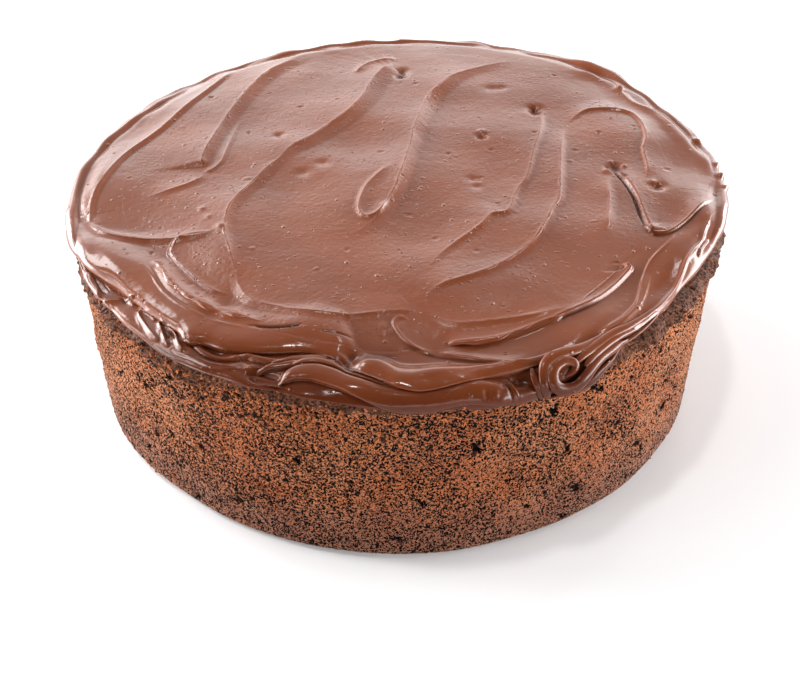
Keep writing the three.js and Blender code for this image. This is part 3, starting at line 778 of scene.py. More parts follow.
def buildTop(material):
    turn, share, faces = discGrid(icing["topRings"])
    edge = rimAt(turn, 1) - icing["rimWidth"] + icing["topEdge"]
    x, y = flatPlace(turn, edge * share)
    count = 6 * icing["topRings"]
    first = len(x) - count
    pull, width = icing["crestPull"], icing["crestWidth"]
    for stroke in strokes:
        x[:first], y[:first] = drawnTo(onTop(stroke), x[:first], y[:first], pull, width)
    z, down = topHeight(x, y)
    z += bubblesOn(x, y) - icing["sink"] * smooth(down, icing["topEdge"] - 1.6, icing["topEdge"])
    top = np.stack([x, y, slantedHeight(x, y, z)], axis=1)

    # the edge goes down to a flat underside inside the icing
    x, y = x[first:] * icing["topTuck"], y[first:] * icing["topTuck"]
    low = np.stack([x, y, slantedHeight(x, y, icing["capHeight"])], axis=1)
    below = place(0, 0, icing["capHeight"])[None]
    faces += bandFaces(2, count, first=first)
    faces += fanFaces(len(top) + count, len(top), count, facingDown=True)
    return paintShadeInClefts(meshPiece("icingTop", np.concatenate([top, low, below]), faces, material))


def buildRim(material):
    count = icing["rimColumns"]
    inner = icing["rimInner"]
    columns = np.arange(count) * (360.0 / count) - 180
    rows, _ = rimRows(columns, inner, icing["rimRows"])
    turns = columns + 0 * rows
    dive = icing["sink"] * (1 - smooth(rows, icing["topEdge"] - 3.6, icing["topEdge"] - 2))
    dive = dive + icing["sink"] * (rows < inner + 0.5)
    rim = rimSkin(turns, rows, columns, dive + front["makeRoom"] * frontShare(turns, rows, 1.6, 1.6))

    # under the top and under the whole spread, just clear of the cake
    wall = form["cakeRadius"]
    rest = form["wallHeight"] + form["crustHeight"] + icing["joinGap"]
    tuck = np.minimum(rimAt(columns, 1) - icing["hemTuck"] - 1.5, wall - 1)
    above = [place(columns, radius, icing["capHeight"]) for radius in icing["capRings"]]
    under = [
        place(columns, tuck, np.maximum(rimAt(columns, 2), form["wallHeight"] - 4)),
        place(columns, wall - form["shoulder"], rest),
        place(columns, wall * 0.8, rest + form["domeRise"] * 0.3),
        place(columns, wall * 0.4, rest + form["domeRise"] * 0.85),
    ]
    rings = np.concatenate([above, rim, under])
    ends = [place(0, 0, icing["capHeight"]), place(0, 0, rest + form["domeRise"])]
    whole = rings.size // 3
    faces = bandFaces(len(rings), count) + fanFaces(whole, 0, count)
    faces += fanFaces(whole + 1, whole - count, count, facingDown=True)
    return meshPiece("icingSpread", np.concatenate([rings.reshape(-1, 3), ends]), faces, material)


def buildFrontFolds(material):
    count, rowCount = front["columns"], front["rows"]
    columns = np.linspace(*front["turns"], count)
    rows, full = rimRows(columns, front["inner"], rowCount)
    turns = columns + 0 * rows
    along, below = turns * rimMm, -rows
    for stroke in rimStrokes:
        path = onRim(stroke)
        near = nearPath(path, along, below, 3)
        spots = drawnTo(path, along[near], below[near], front["markPull"], front["markWidth"])
        along[near], below[near] = spots
    turns, rows = along / rimMm, np.minimum(-below, full)
    skin = rimSkin(turns, rows, columns, front["sink"] * (1 - frontShare(turns, rows, 0, 1.8)))

    # the shell closes on a spine inside the icing
    spine = place(columns, front["spineRadius"], front["spineHeight"])
    hemRow = (rowCount - 1) * count
    spineRow = hemRow + count
    faces = bandFaces(rowCount + 1, count, closed=False)
    for c in range(count - 1):
        faces.append((spineRow + c, c, c + 1, spineRow + c + 1))
    for a in range(0, hemRow, count):
        faces.append((a, spineRow, a + count))
        faces.append((a + count - 1, a + 2 * count - 1, spineRow + count - 1))
    vertices = np.concatenate([skin.reshape(-1, 3), spine])
    return paintShadeInClefts(meshPiece("icingFolds", vertices, faces, material))


# strands and the rolled end
strands = dict(
    sides=14,
    depth=1.7,  # how much deeper than wide a strand is
    steps=90,
    threadSteps=150,
    threadRadius=0.24,
    footRadius=0.3,
    thinnest=0.03,
    threadEnd=-6.8,  # where a thread stops, in mm down from the rim's inner line
)

# each strand: rows of a turn, mm down the rim, mm above it and half its thickness
strandPaths = [
    [
        (34, 7.2, 0.5, 0.4), (30.5, 6.3, 0.9, 0.8), (27.8, 5.6, 1.3, 1), (25.6, 5.2, 1.6, 1.1),
        (23.6, 5.5, 1.7, 1.2), (22.2, 6.8, 1.6, 1.15), (21.5, 8.8, 1.4, 1.05), (21.2, 11, 1.2, 1),
        (21.3, 13.4, 0.9, 0.9), (21.7, 15.8, 0.3, 0.6)],
    [
        (37, 12.6, 0.3, 0.5), (34.4, 12, 0.8, 0.8), (31.4, 11.2, 1.2, 0.9), (29.2, 11.6, 1.6, 1),
        (27.4, 13, 1.9, 1.1), (25.6, 14.3, 2, 1.2), (23.7, 14, 2, 1.2), (22.6, 12.4, 2, 1.15),
        (22.5, 10.2, 2, 1.1), (23.3, 8.3, 2, 1), (24.9, 7.5, 1.9, 0.95), (26.2, 8.3, 1.8, 0.85),
        (26.4, 9.7, 1.6, 0.75), (25.6, 10.8, 1.2, 0.6), (24.5, 11.2, 0.7, 0.4)],
    [
        (46, 10.4, 0.2, 0.3), (41, 9.8, 0.5, 0.6), (37.5, 9.4, 0.8, 0.8), (34, 8.6, 1, 0.9),
        (31, 7.9, 1.3, 0.9), (28.6, 7.8, 1.5, 0.8), (26.9, 8.6, 1.3, 0.5)],
    [
        (39, 11.2, 0.2, 0.3), (35.6, 10.4, 0.8, 0.7), (32.4, 9.6, 1.2, 0.8), (29.8, 9.5, 1.5, 0.8),
        (27.9, 10.6, 1.5, 0.5)],
    [
        (45, 12.2, 0.2, 0.4), (39, 12.8, 0.5, 0.8), (34.4, 13.6, 0.8, 1), (30.8, 14.4, 0.9, 1.1),
        (28, 15.8, 0.8, 1.1), (25, 16.9, 0.5, 1), (22.2, 16.8, 0.2, 0.5)],
    [
        (20.2, 6.2, 0.2, 0.3), (20, 8.4, 0.6, 0.6), (20.1, 10.8, 0.7, 0.7), (20.4, 13.4, 0.5, 0.6),
        (20.7, 15.8, 0.2, 0.3)],
    [
        (16.0, 8, 0.3, 0.15), (16.4, 10.2, 0.7, 0.4), (16.9, 12.6, 0.8, 0.5), (17.1, 15, 0.6, 0.35),
        (16.8, 17, 0.5, 0.1)],
    [(10.6, 8.2, 0, 0.1), (11.8, 8.6, 0.3, 0.3), (13, 9.4, 0.3, 0.3), (14, 9.6, 0, 0.1)],
    [(12, 10.4, 0, 0.1), (13.2, 10, 0.3, 0.28), (14.6, 10.6, 0.4, 0.35), (15.8, 10.4, 0.2, 0.1)],
    [(13.6, 7.8, 0, 0.1), (14.4, 8.6, 0.3, 0.3), (15.2, 9.8, 0.4, 0.3), (15.6, 11.2, 0.2, 0.1)],
    [(9.4, 12.2, 0, 0.1), (12, 11.9, 0.4, 0.3), (14.6, 12.2, 0.5, 0.35), (16.6, 13.2, 0.3, 0.15)],
]


def rimSpots(turn, down, lift):
    # places on the rim and the way out of it; past the lower edge they hang straight down
    outline = rimOutline(turn)
    r, h, outR, outH = (row[0] for row in skinAt(outline, down[None], 0.6))
    h = h - np.maximum(0, down - outline[2][-1])
    return place(turn, r + outR * lift, h + outH * lift), np.stack([*flatPlace(turn, outR), outH], axis=-1)


def grow(name, source, shape, settings, material):
    # a Geometry Nodes tree over the source object, kept as a plain mesh
    tree = bpy.data.node_groups.new(name, "GeometryNodeTree")
    for way in ("INPUT", "OUTPUT"):
        tree.interface.new_socket("Geometry", in_out=way, socket_type="NodeSocketGeometry")
    sockets = {}
    for label, value in settings.items():
        kind = "NodeSocketInt" if isinstance(value, int) else "NodeSocketFloat"
        sockets[label] = tree.interface.new_socket(label, in_out="INPUT", socket_type=kind).identifier
    sheet = NodeSheet(tree)
    shaped = shape(sheet, tree.nodes.new("NodeGroupInput").outputs)
    whole = sheet.add("GeometryNodeRealizeInstances", {0: shaped})
    dressed = sheet.add("GeometryNodeSetMaterial", {"Geometry": whole, "Material": material})
    sheet.fill(tree.nodes.new("NodeGroupOutput"), {0: dressed})
    modifier = source.modifiers.new(name, "NODES")
    modifier.node_group = tree
    for label, value in settings.items():
        modifier[sockets[label]] = value
    evaluated = source.evaluated_get(bpy.context.evaluated_depsgraph_get())
    mesh = bpy.data.meshes.new_from_object(evaluated)
    source.modifiers.remove(modifier)
    bpy.data.objects.remove(source)
    return report(addObject(name, mesh))


def strandTree(sheet, given):
    # a squashed ring is swept along each line
    curve = sheet.add("GeometryNodeMeshToCurve", {"Mesh": given["Geometry"]})
    outward = sheet.named("outward", "FLOAT_VECTOR")
    turned = sheet.add("GeometryNodeSetCurveNormal", {"Curve": curve, "Normal": outward}, mode="FREE")
    ring = sheet.add("GeometryNodeCurvePrimitiveCircle", {"Resolution": given["Sides"], "Radius": 1}, "Curve")
    deep = sheet.add("ShaderNodeCombineXYZ", {"X": 1, "Y": given["Depth"], "Z": 1})
    oval = sheet.add("GeometryNodeTransform", {"Geometry": ring, "Scale": deep})
    sweep = sheet.add("GeometryNodeCurveToMesh", {
        "Curve": turned, "Profile Curve": oval, "Scale": sheet.named("thick"), "Fill Caps": True})
    return sheet.add("GeometryNodeSetShadeSmooth", {"Geometry": sweep})


def threadAlong(stroke, aside, radius):
    # a fine lip of icing on the crest of a stroke, or aside of it at its foot
    line = curveThrough(onTop(stroke), strands["threadSteps"])
    ahead = np.gradient(line, axis=0)
    ahead /= np.hypot(ahead[:, 0], ahead[:, 1])[:, None]
    away = aside * -np.sign(stroke["height"])
    x = line[:, 0] + ahead[:, 1] * away + 0.12 * waves(line[:, 0], line[:, 1], 5, 41)
    y = line[:, 1] - ahead[:, 0] * away
    z, down = topHeight(x, y)
    last = stroke.get("threadTo", strands["threadEnd"])
    taper = endFade(np.linspace(0, 1, len(x)), stroke.get("threadFade", (0.3, 0.3)))
    taper = taper * (1 - smooth(down, last - 2.2, last + 0.3))
    half = radius * (0.25 + 0.75 * taper) * (0.8 + 0.3 * waves(x, y, 9, 42))
    sunk = z - 0.45 * strands["depth"] * half - 0.6 * radius * (1 - taper)
    keep = down < last
    spots = np.stack([x, y, slantedHeight(x, y, sunk)], axis=1)[keep]
    return spots, np.tile((0.0, 0.0, 1.0), (len(spots), 1)), np.maximum(half, strands["thinnest"])[keep]


def buildStrands(material):
    lines = []
    for path in strandPaths:
        turn, down, lift, half = curveThrough(path, strands["steps"]).T
        lines.append((*rimSpots(turn, down, lift), half))
    for stroke in strokes:
        radius = stroke.get("thread", strands["threadRadius"] if abs(stroke["height"]) > 1 else 0)
        if radius:
            lines.append(threadAlong(stroke, 0, radius))
        if "foot" in stroke:
            lines.append(threadAlong(stroke, stroke["foot"], strands["footRadius"]))
    edges, first = [], 0
    for spots, _, _ in lines:
        edges += [(first + i, first + i + 1) for i in range(len(spots) - 1)]
        first += len(spots)
    points, outward, thick = (np.concatenate(column) for column in zip(*lines))
    mesh = bpy.data.meshes.new("strandLines")
    mesh.from_pydata([tuple(point) for point in points * mm], edges, [])
    setLayer(mesh, "thick", thick * mm)
    setLayer(mesh, "outward", outward)
    settings = {"Sides": strands["sides"], "Depth": strands["depth"]}
    return grow("icingStrands", addObject("strandLines", mesh), strandTree, settings, material)


# the icing's look; places and distances in the materials are in metres, as the nodes read them
icingLook = dict(
    dark=(0.155, 0.0385, 0.0138),
    light=(0.19, 0.05, 0.0188),
    # painted shade for the clefts
    cleft=(0.02, 0.005, 0.002),
    # painted shade on the lower front of the rim
    paintedHemShade=(0.44, 0.36, 0.31),
    gloss=0.455,
    rimGloss=0.22,
    roughness=0.29,
    rimRoughness=0.165,
)


def icingMaterial():
    material, sheet, shader = newMaterial("chocolateIcing")
    cloud = sheet.rangeOf(sheet.noise(26, 4, 0.55), 0.35, 0.68)
    # painted shade: the lower front of the rim, turned away from the light, is darkened and made less glossy
    low = sheet.rangeOf(sheet.axis(sheet.place, "Z"), 0.067, 0.0765, 1, 0)
    low = sheet.times(low, sheet.rangeOf(sheet.axis(sheet.place, "Y"), -0.108, -0.075, 1, 0))
    # painted shade: the clefts are coloured near black and lose their gloss
    shade = sheet.attribute("shade")
    colour = sheet.blend(cloud, icingLook["dark"], icingLook["light"])
    colour = sheet.blend(low, colour, sheet.darkened(colour, icingLook["paintedHemShade"]))
    colour = sheet.blend(shade, colour, icingLook["cleft"])
    gloss = sheet.rangeOf(low, 0, 1, icingLook["gloss"], icingLook["rimGloss"])
    gloss = sheet.times(gloss, sheet.math("SUBTRACT", 1.0, shade))

    # satin on top, glossier and smoother towards the rim
    flat = sheet.vectorMath("MULTIPLY", {0: sheet.place, 1: (1, 1, 0)})
    radius = sheet.vectorMath("LENGTH", {0: flat}, "Value")
    satin = sheet.rangeOf(radius, 0.085, 0.103, icingLook["roughness"], icingLook["rimRoughness"])
    patchy = sheet.math("MULTIPLY_ADD", sheet.noise(70, 3, 0.6), 0.16, -0.08)
    calm = sheet.rangeOf(radius, 0.088, 0.101, 1, 0.15)

    # soft dents, drag marks, fine grain, short streaks, small beads and pinholes
    dragged = sheet.noise(1, 4, 0.6, sheet.stretched((420, 900, 420), (0, 0, 0.3)))
    streak = sheet.cells(1, sheet.stretched((300, 560, 400), (0, 0, -0.65)))
    streak = sheet.times(sheet.rangeOf(streak, 0.06, 0.24, 1, 0), sheet.patches(130, 0.5))
    bead = sheet.times(sheet.rangeOf(sheet.cells(210), 0.07, 0.19, 1, 0), sheet.patches(150, 0.54))
    hole = sheet.times(sheet.rangeOf(sheet.cells(330), 0.05, 0.15, -1, 0), sheet.patches(90, 0.56))
    normal = None
    for height, strength, distance in (
        (sheet.noise(95, 3, 0.5), 0.35, 0.0009),
        (sheet.times(dragged, calm), 0.12, 0.0005),
        (sheet.times(sheet.noise(640, 3, 0.55), calm), 0.32, 0.0005),
        (sheet.times(streak, calm), 0.8, 0.0004),
        (sheet.times(bead, sheet.math("MULTIPLY_ADD", calm, 0.6, 0.4)), 0.9, 0.0005),
        (sheet.times(hole, calm), 0.9, 0.0004),
    ):
        normal = sheet.bump(height, strength, distance, normal)
    sheet.fill(shader, {
        "Base Color": colour,
        "IOR": 1.5,
        "Specular IOR Level": gloss,
        "Roughness": sheet.math("ADD", satin, patchy, clamp=True),
        "Normal": normal,
    })
    return material


# the cake
sponge = dict(
    columns=960,
    wallRows=72,
    wobble=0.5,  # how far the wall strays from round
    pits=240,
    pitRadius=(0.6, 1.6),
    pitDepth=(0.7, 1.5),
    pitStretch=(0.8, 1.8),
    crustCrinkle=0.75,
    roughness=0.16,  # of the crumb between the pits
    # lower edge of the crust: turn, height
    crustEdge=[
        (-180, 65), (-140, 64), (-110, 62.5), (-80, 60), (-62, 60), (-55, 61.5), (-50, 62.2), (-44, 61),
        (-40, 59.8), (-36, 60.3), (-31, 60.6), (-26, 64.2), (-15, 64.8), (-8, 65), (0, 66), (24, 66),
        (34, 65.8), (45, 65.6), (52, 65.4), (59, 63), (66, 61.5), (80, 62), (110, 64), (150, 65),
    ],
)


def cakeOutline():
    # radius and height from the middle of the top, over the crust and down the wall to the base
    wall, wallTop = form["cakeRadius"], form["wallHeight"]
    top, lip, foot = wallTop + form["crustHeight"], wall + form["crustFlare"], form["baseRounding"]
    inner = [
        (0.0, top + form["domeRise"]),
        (wall * 0.45, top + form["domeRise"] * 0.8),
        (wall * 0.8, top + form["domeRise"] * 0.3),
        (wall - form["shoulder"] - 4, top + 0.1),
    ]
    crust = curveThrough([
        (wall - form["shoulder"], top), (lip - 1.7, top - 1.1), (lip, top - 3.7),
        (lip - 0.5, wallTop - 0.4), (wall, wallTop - 2), (wall, wallTop - 6)], 22)
    side = [(wall, height) for height in np.linspace(wallTop - 6.8, foot + 0.8, sponge["wallRows"])]
    rounding = curveThrough([(wall, foot), (wall - 0.75, 0.75), (wall - foot, 0)], 4)
    return np.concatenate([inner, crust, side, rounding])


def pitsOn(along, height, count):
    # depth of the pits in the wall, whose edges are bent so that none is round
    pit = np.zeros_like(along)
    bent = along + 0.7 * waves(along, height, 2.6, 26)
    bentUp = height + 0.7 * waves(along, height, 2.9, 27)
    half = math.pi * form["cakeRadius"]
    for _ in range(sponge["pits"]):
        spot = rng.uniform(-half, half)
        level = rng.uniform(3, form["wallHeight"] - 1)
        size = rng.uniform(*sponge["pitRadius"]) * rng.uniform(0.6, 1)
        depth = rng.uniform(*sponge["pitDepth"])
        long = rng.uniform(*sponge["pitStretch"])
        tilt = rng.uniform(0, math.pi)
        middle = int((spot / half + 1) / 2 * count)
        window = (np.arange(-7, 8) + middle) % count
        du = bent[:, window] - spot
        dv = bentUp[:, window] - level
        p = (du * math.cos(tilt) + dv * math.sin(tilt)) / long
        q = dv * math.cos(tilt) - du * math.sin(tilt)
        share = np.clip(1.25 - np.hypot(p, q) / size, 0, 1)
        pit[:, window] = np.maximum(pit[:, window], share * depth)
    return pit


def buildCake(material):
    count = sponge["columns"]
    columns = np.arange(count) * (360.0 / count) - 180
    angle = np.radians(columns)
    outline = cakeOutline()
    rows = len(outline) - 1
    wobble = np.sin(2 * angle + 0.7) + 0.7 * np.sin(6 * angle + 2) + 0.4 * np.sin(11 * angle)
    radius = outline[1:, :1] + sponge["wobble"] * wobble
    height = outline[1:, 1:] + 0 * radius
    along = columns * math.radians(form["cakeRadius"]) + 0 * radius

    # the crust is a crinkled band with a ragged lower edge
    table = sponge["crustEdge"]
    before = [(turn - 360, low) for turn, low in table[-2:]]
    after = [(turn + 360, low) for turn, low in table[:2]]
    edge = curveThrough(before + table + after, 400)
    ragged = np.interp(columns, edge[:, 0], edge[:, 1])
    ragged = ragged + 0.25 * waves(along, 0 * along, 9, 21) + 0.35 * waves(along, 0 * along, 3, 22)
    crust = smooth(height, ragged - 0.9, ragged + 0.5)
    onSide = smooth(radius, form["cakeRadius"] - 8, form["cakeRadius"] - 3)
    crinkle = np.abs(waves(along, height * 1.3, 3.4, 23)) - 0.6
    crinkle = crinkle + 0.6 * (np.abs(waves(along, height, 1.9, 24)) - 0.6)
    radius += -sponge["crustCrinkle"] * crinkle * crust * onSide
    radius += 0.5 * crust * onSide * waves(along, 0 * along, 16, 25)

    # the wall has pits, a rough crumb and slow swellings
    wallOnly = (1 - crust) * smooth(height, 0.4, 3)
    pit = pitsOn(along, height, count) * wallOnly
    radius -= pit
    radius += sponge["roughness"] * waves(along, height, 2.3, 28) * wallOnly
    radius += 0.35 * waves(along, height, 24, 29) * wallOnly

    spots = place(columns, radius, height).reshape(-1, 3)
    middle, base = place(0, 0, outline[0, 1]), np.zeros(3)
    faces = fanFaces(0, 1, count) + bandFaces(rows, count, first=1)
    faces += fanFaces(1 + len(spots), 1 + len(spots) - count, count, facingDown=True)
    piece = meshPiece("mudCake", np.concatenate([[middle], spots, [base]]), faces, material)
    layers = {
        "crust": crust * onSide,
        "pit": np.clip(pit, 0, 1),
        "level": height / form["wallHeight"],
        # more pores round the front: partly the crumb's own, partly painted shade that darkens the front of
        # the wall
        "openAndShaded": bell(columns + 6, 46) + 0.35 * waves(along, height, 30, 31),
    }
    for name, values in layers.items():
        setLayer(piece.data, name, np.concatenate([[0], values.ravel(), [0]]))
    return piece


spongeLook = dict(
    warm=((0.43, 0.119, 0.0345), (0.505, 0.174, 0.063)),
    grainTint=(0.45, 0.4, 0.42),
    nearBase=(0.205, 0.078, 0.049),
    # painted shade for the crumb's hollows
    paintedPoreShade=(0.003, 0.001, 0.0006),
    burnt=((0.022, 0.0075, 0.004), (0.205, 0.073, 0.037)),
    sheenTint=(1, 0.78, 0.62, 1),
    sheen=(0.26, 0.02),
    roughness=(0.95, 0.42),
)


def spongeColour(sheet):
    # an orange brown crumb, darker and greyer near the base
    warm = sheet.blend(sheet.rangeOf(sheet.noise(38, 4, 0.6), 0.35, 0.68), *spongeLook["warm"])
    grains = sheet.rangeOf(sheet.noise(2100, 2, 0.6), 0.44, 0.58)
    grainy = sheet.blend(grains, sheet.darkened(warm, spongeLook["grainTint"]), warm)
    level = sheet.math("MULTIPLY_ADD", sheet.noise(45, 3, 0.6), 0.3, sheet.attribute("level"))
    low = sheet.times(sheet.rangeOf(level, 0.2, 0.62, 1, 0), 0.78)
    return sheet.blend(low, grainy, spongeLook["nearBase"])


def cakeMaterial():
    material, sheet, shader = newMaterial("chocolateSponge")
    crust = sheet.attribute("crust")

    # a maze of fine pores, wider holes, ragged cavities and the pits of the mesh, all given painted shade
    # more pores towards the front, partly the crumb's own and partly painted shade on the front of the wall
    openedAndShaded = sheet.rangeOf(sheet.attribute("openAndShaded"), 0, 1, 0.022, -0.02)
    maze = sheet.math("ADD", openedAndShaded, sheet.noise(1450, 1.2, 0.5, distortion=0.8))
    dark = sheet.rangeOf(maze, 0.482, 0.502, 1, 0)
    wide = sheet.rangeOf(sheet.noise(420, 2.5, 0.6), 0.3, 0.34, 1, 0)
    cavity = sheet.cells(1, sheet.stretched((230, 230, 190), (0.4, 0.3, 0)))
    cavity = sheet.math("MULTIPLY_ADD", sheet.noise(900, 2, 0.6), 0.5, cavity)
    cavity = sheet.times(sheet.rangeOf(cavity, 0.39, 0.44, 1, 0), sheet.patches(120, 0.53))
    for holes in (wide, cavity, sheet.rangeOf(sheet.attribute("pit"), 0.1, 0.5)):
        dark = sheet.math("MAXIMUM", dark, holes)

    # painted shade: the pores, holes, cavities and pits are coloured near black, as the shade in the crumb's
    # hollows
    crumb = sheet.blend(dark, spongeColour(sheet), spongeLook["paintedPoreShade"])
    burnt = sheet.blend(sheet.rangeOf(sheet.noise(1150, 3, 0.65), 0.42, 0.56), *spongeLook["burnt"])
    depth = sheet.math("SUBTRACT", sheet.times(sheet.noise(1300, 3, 0.6), 0.5), dark)
    rough = sheet.times(sheet.noise(850, 4, 0.7), crust)
    sheet.fill(shader, {
        "Base Color": sheet.blend(crust, crumb, burnt),
        "IOR": 1.35,
        "Specular IOR Level": 0.16,
        # the painted shade of the hollows also takes away their sheen
        "Sheen Weight": sheet.rangeOf(sheet.math("MAXIMUM", crust, dark), 0, 1, *spongeLook["sheen"]),
        "Sheen Roughness": 0.5,
        "Sheen Tint": spongeLook["sheenTint"],
        "Roughness": sheet.rangeOf(crust, 0, 1, *spongeLook["roughness"]),
        "Normal": sheet.bump(rough, 1, 0.0009, sheet.bump(depth, 1, 0.0007)),
    })
    return material


# loose crumbs on the wall
crumbs = dict(
    density=300000.0,  # for each square metre where the wall is fully crumbly
    seed=4,
    size=(0.35, 0.95),  # smallest and largest radius, in mm
    patchTurn=-20,
    patchWidth=13,
    dark=(0.035, 0.0105, 0.0055),
    bright=(0.48, 0.145, 0.046),
    grainTint=(0.3, 0.27, 0.28),
)


def crumbTree(sheet, given):
    # lumpy balls about 1 mm in radius, scattered, turned and scaled at random
    amount = sheet.times(sheet.named("crumbly"), given["Density"])
    ground = {"Mesh": given["Geometry"], "Density": amount, "Seed": given["Seed"]}
    points = sheet.add("GeometryNodeDistributePointsOnFaces", ground, "Points")
    ball = sheet.add("GeometryNodeMeshIcoSphere", {"Radius": mm, "Subdivisions": 2}, "Mesh")
    here = sheet.add("GeometryNodeInputPosition", {})
    lumps = sheet.add("ShaderNodeTexNoise", {"Vector": here, "Scale": 900}, "Fac")
    spread = sheet.add("ShaderNodeMapRange", {"Value": lumps, "To Min": 0.35, "To Max": 1.65})
    shoved = sheet.vectorMath("SCALE", {0: here, "Scale": spread})
    lumpy = sheet.add("GeometryNodeSetPosition", {"Geometry": ball, "Position": shoved})
    spin = sheet.add("FunctionNodeRandomValue", {"Max": (math.tau,) * 3}, data_type="FLOAT_VECTOR")
    size = sheet.add("FunctionNodeRandomValue", {2: given["Small"], 3: given["Large"]}, 1)
    balls = {"Points": points, "Instance": lumpy, "Rotation": spin, "Scale": size}
    scattered = sheet.add("GeometryNodeInstanceOnPoints", balls)
    return sheet.add("GeometryNodeSetShadeSmooth", {"Geometry": scattered})


def crumbMaterial():
    material, sheet, shader = newMaterial("looseCrumb")
    kind = sheet.rangeOf(sheet.noise(420, 1, 0.5), 0.36, 0.5)
    grains = sheet.rangeOf(sheet.noise(1900, 2, 0.6), 0.42, 0.55)
    tone = sheet.blend(kind, crumbs["dark"], crumbs["bright"])
    sheet.fill(shader, {
        "Base Color": sheet.blend(grains, sheet.darkened(tone, crumbs["grainTint"]), tone),
        "Roughness": 0.9,
        "Specular IOR Level": 0.25,
        "Normal": sheet.bump(grains, 0.8, 0.0004),
    })
    return material


def buildCrumbs(cake, material):
    # thick in a patch under the icing on the left of the front, thin elsewhere
    mesh = cake.data.copy()
    x, y, z = pointsOf(mesh).T
    turn = np.degrees(np.arctan2(x, -y))
    side = np.hypot(x, y) > form["cakeRadius"] - 3
    patch = bell(turn - crumbs["patchTurn"], crumbs["patchWidth"])
    patch = patch * smooth(z, 48, 55) * (1 - smooth(z, 62, 66))
    band = 0.13 * smooth(z, 55, 60) * (1 - smooth(z, 67, 70))
    cling = (0.006 + 0.06 * (1 - smooth(z, 2, 6))) * smooth(z, 1.2, 2)
    setLayer(mesh, "crumbly", np.clip(patch + band + cling, 0, 1) * side)
    small, large = crumbs["size"]
    settings = {"Density": crumbs["density"], "Seed": crumbs["seed"], "Small": small, "Large": large}
    return grow("cakeCrumbs", addObject("crumbGround", mesh), crumbTree, settings, material)


# the floor and the studio's light, in metres
studio = dict(
    floorHalf=3.0,
    floorColours=((0.9, 0.9, 0.905), (0.92, 0.92, 0.925)),
    aim=(0, 0, 0.05),
    air=(0.98, 0.99, 1, 1),
    # name, place, width and height, watts
    boxes=[
        ("leftBox", (-1.72, 0.8, 0.5), (1.3, 0.95), 47),
        ("rightBox", (2.0, 0.55, 0.42), (2.0, 0.8), 46),
        ("leftBackBox", (-1.15, 0.98, 1.28), (0.5, 0.45), 8),
        ("leftHighBox", (-1.4, 0.15, 1.35), (0.42, 0.42), 6),
        ("overheadBox", (-0.32, -0.12, 1.9), (0.14, 0.14), 6),
        ("rightHighBox", (0.35, 0.72, 1.75), (0.1, 0.1), 1.5),
        ("backdrop", (0.1, 2.0, 0.9), (2.6, 0.5), 5),
        ("frontBox", (0.1, -2.0, 0.4), (1.6, 0.5), 9),
        ("frontLeftBox", (-1.9, -0.7, 0.35), (0.9, 0.5), 18),
        ("frontRightBox", (1.9, -0.7, 0.35), (0.9, 0.5), 18),
    ],
)


def buildFloor():
    material, sheet, shader = newMaterial("whiteTable")
    colour = sheet.blend(sheet.noise(3, 2, 0.5), *studio["floorColours"])
    sheet.fill(shader, {"Base Color": colour, "Roughness": 0.9, "Specular IOR Level": 0.1})
    half = studio["floorHalf"] / mm
    corners = np.array([(-half, -half, 0), (half, -half, 0), (half, half, 0), (-half, half, 0)])
    return meshPiece("tableTop", corners, [(0, 1, 2, 3)], material)


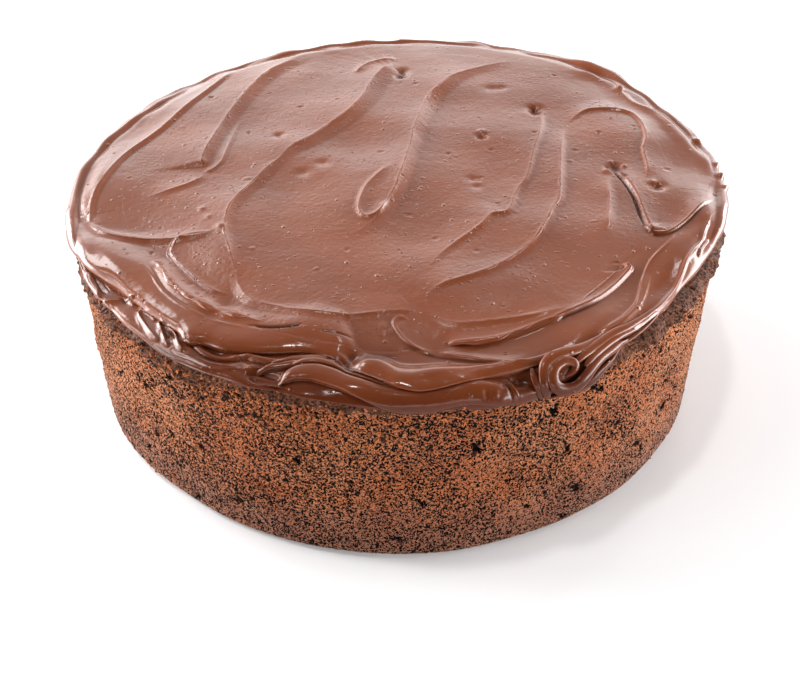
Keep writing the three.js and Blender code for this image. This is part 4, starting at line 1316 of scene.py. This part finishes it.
def lightRoom():
    # air that is bright behind the cake and at both sides, with a few softer glows behind
    world = bpy.data.worlds.new("studio")
    bpy.context.scene.world = world
    world.use_nodes = True
    sheet = NodeSheet(world.node_tree)
    direction = sheet.add("ShaderNodeTexCoord", {}, "Generated")
    x, y, z = (sheet.axis(direction, name) for name in "XYZ")
    low = sheet.rangeOf(z, 0.8, 0.1)
    behind = sheet.rangeOf(y, 0.35, 0.8)
    total = sheet.rangeOf(y, 0.05, 0.95, 0.02, 0.93)
    glows = (
        (low, x, 0.5, 1, 5.2),
        (low, x, -0.5, -1, 5),
        (behind, x, 0.1, 0.42, 0.55),
        (behind, x, -0.1, -0.42, 0.65),
        (behind, z, 0.34, 0.22, 1.6),
    )
    for share, axis, start, end, strength in glows:
        total = sheet.math("MULTIPLY_ADD", share, sheet.rangeOf(axis, start, end, 0, strength), total)
    sheet.fill(world.node_tree.nodes["Background"], {"Strength": total, "Color": studio["air"]})
    for name, spot, size, watts in studio["boxes"]:
        lamp = bpy.data.lights.new(name, "AREA")
        lamp.shape = "RECTANGLE"
        lamp.size, lamp.size_y = size
        lamp.energy = watts
        holder = addObject(name, lamp)
        holder.location = spot
        holder.visible_camera = False
        holder.rotation_euler = (Vector(studio["aim"]) - Vector(spot)).to_track_quat("-Z", "Y").to_euler()
    print("light set:", len(studio["boxes"]), "boxes")


view = dict(
    spot=(0, -0.339, 0.2627),
    pitch=38.33,  # down from level
    yaw=0.29,  # to the right
    roll=0.42,  # against the clock
    lens=47.2,
    sensor=36,
    nearest=0.01,
)


def placeCamera():
    pitch, yaw, roll = (math.radians(view[name]) for name in ("pitch", "yaw", "roll"))
    ahead = Vector((math.sin(yaw) * math.cos(pitch), math.cos(yaw) * math.cos(pitch), -math.sin(pitch)))
    right = Vector((math.cos(yaw), -math.sin(yaw), 0))
    up = right.cross(ahead)
    sideways = right * math.cos(roll) + up * math.sin(roll)
    upward = up * math.cos(roll) - right * math.sin(roll)
    camera = bpy.data.cameras.new("camera")
    camera.lens = view["lens"]
    camera.sensor_width = view["sensor"]
    camera.clip_start = view["nearest"]
    holder = addObject("camera", camera)
    facing = Matrix((sideways, upward, -ahead)).transposed().to_4x4()
    holder.matrix_world = Matrix.Translation(view["spot"]) @ facing
    bpy.context.scene.camera = holder
    print("camera placed")


placeCamera()
lightRoom()
buildFloor()

glaze = icingMaterial()
cakePiece = buildCake(cakeMaterial())
for piece, node in (
    (buildTop(glaze), "icing"),
    (buildFrontFolds(glaze), "icing"),
    (buildRim(glaze), "icing"),
    (buildStrands(glaze), "icing"),
    (cakePiece, "cake"),
    (buildCrumbs(cakePiece, crumbMaterial()), "cake"),
):
    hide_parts(node)
    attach(piece, "root")

bpy.context.scene.view_settings.view_transform = "Standard"
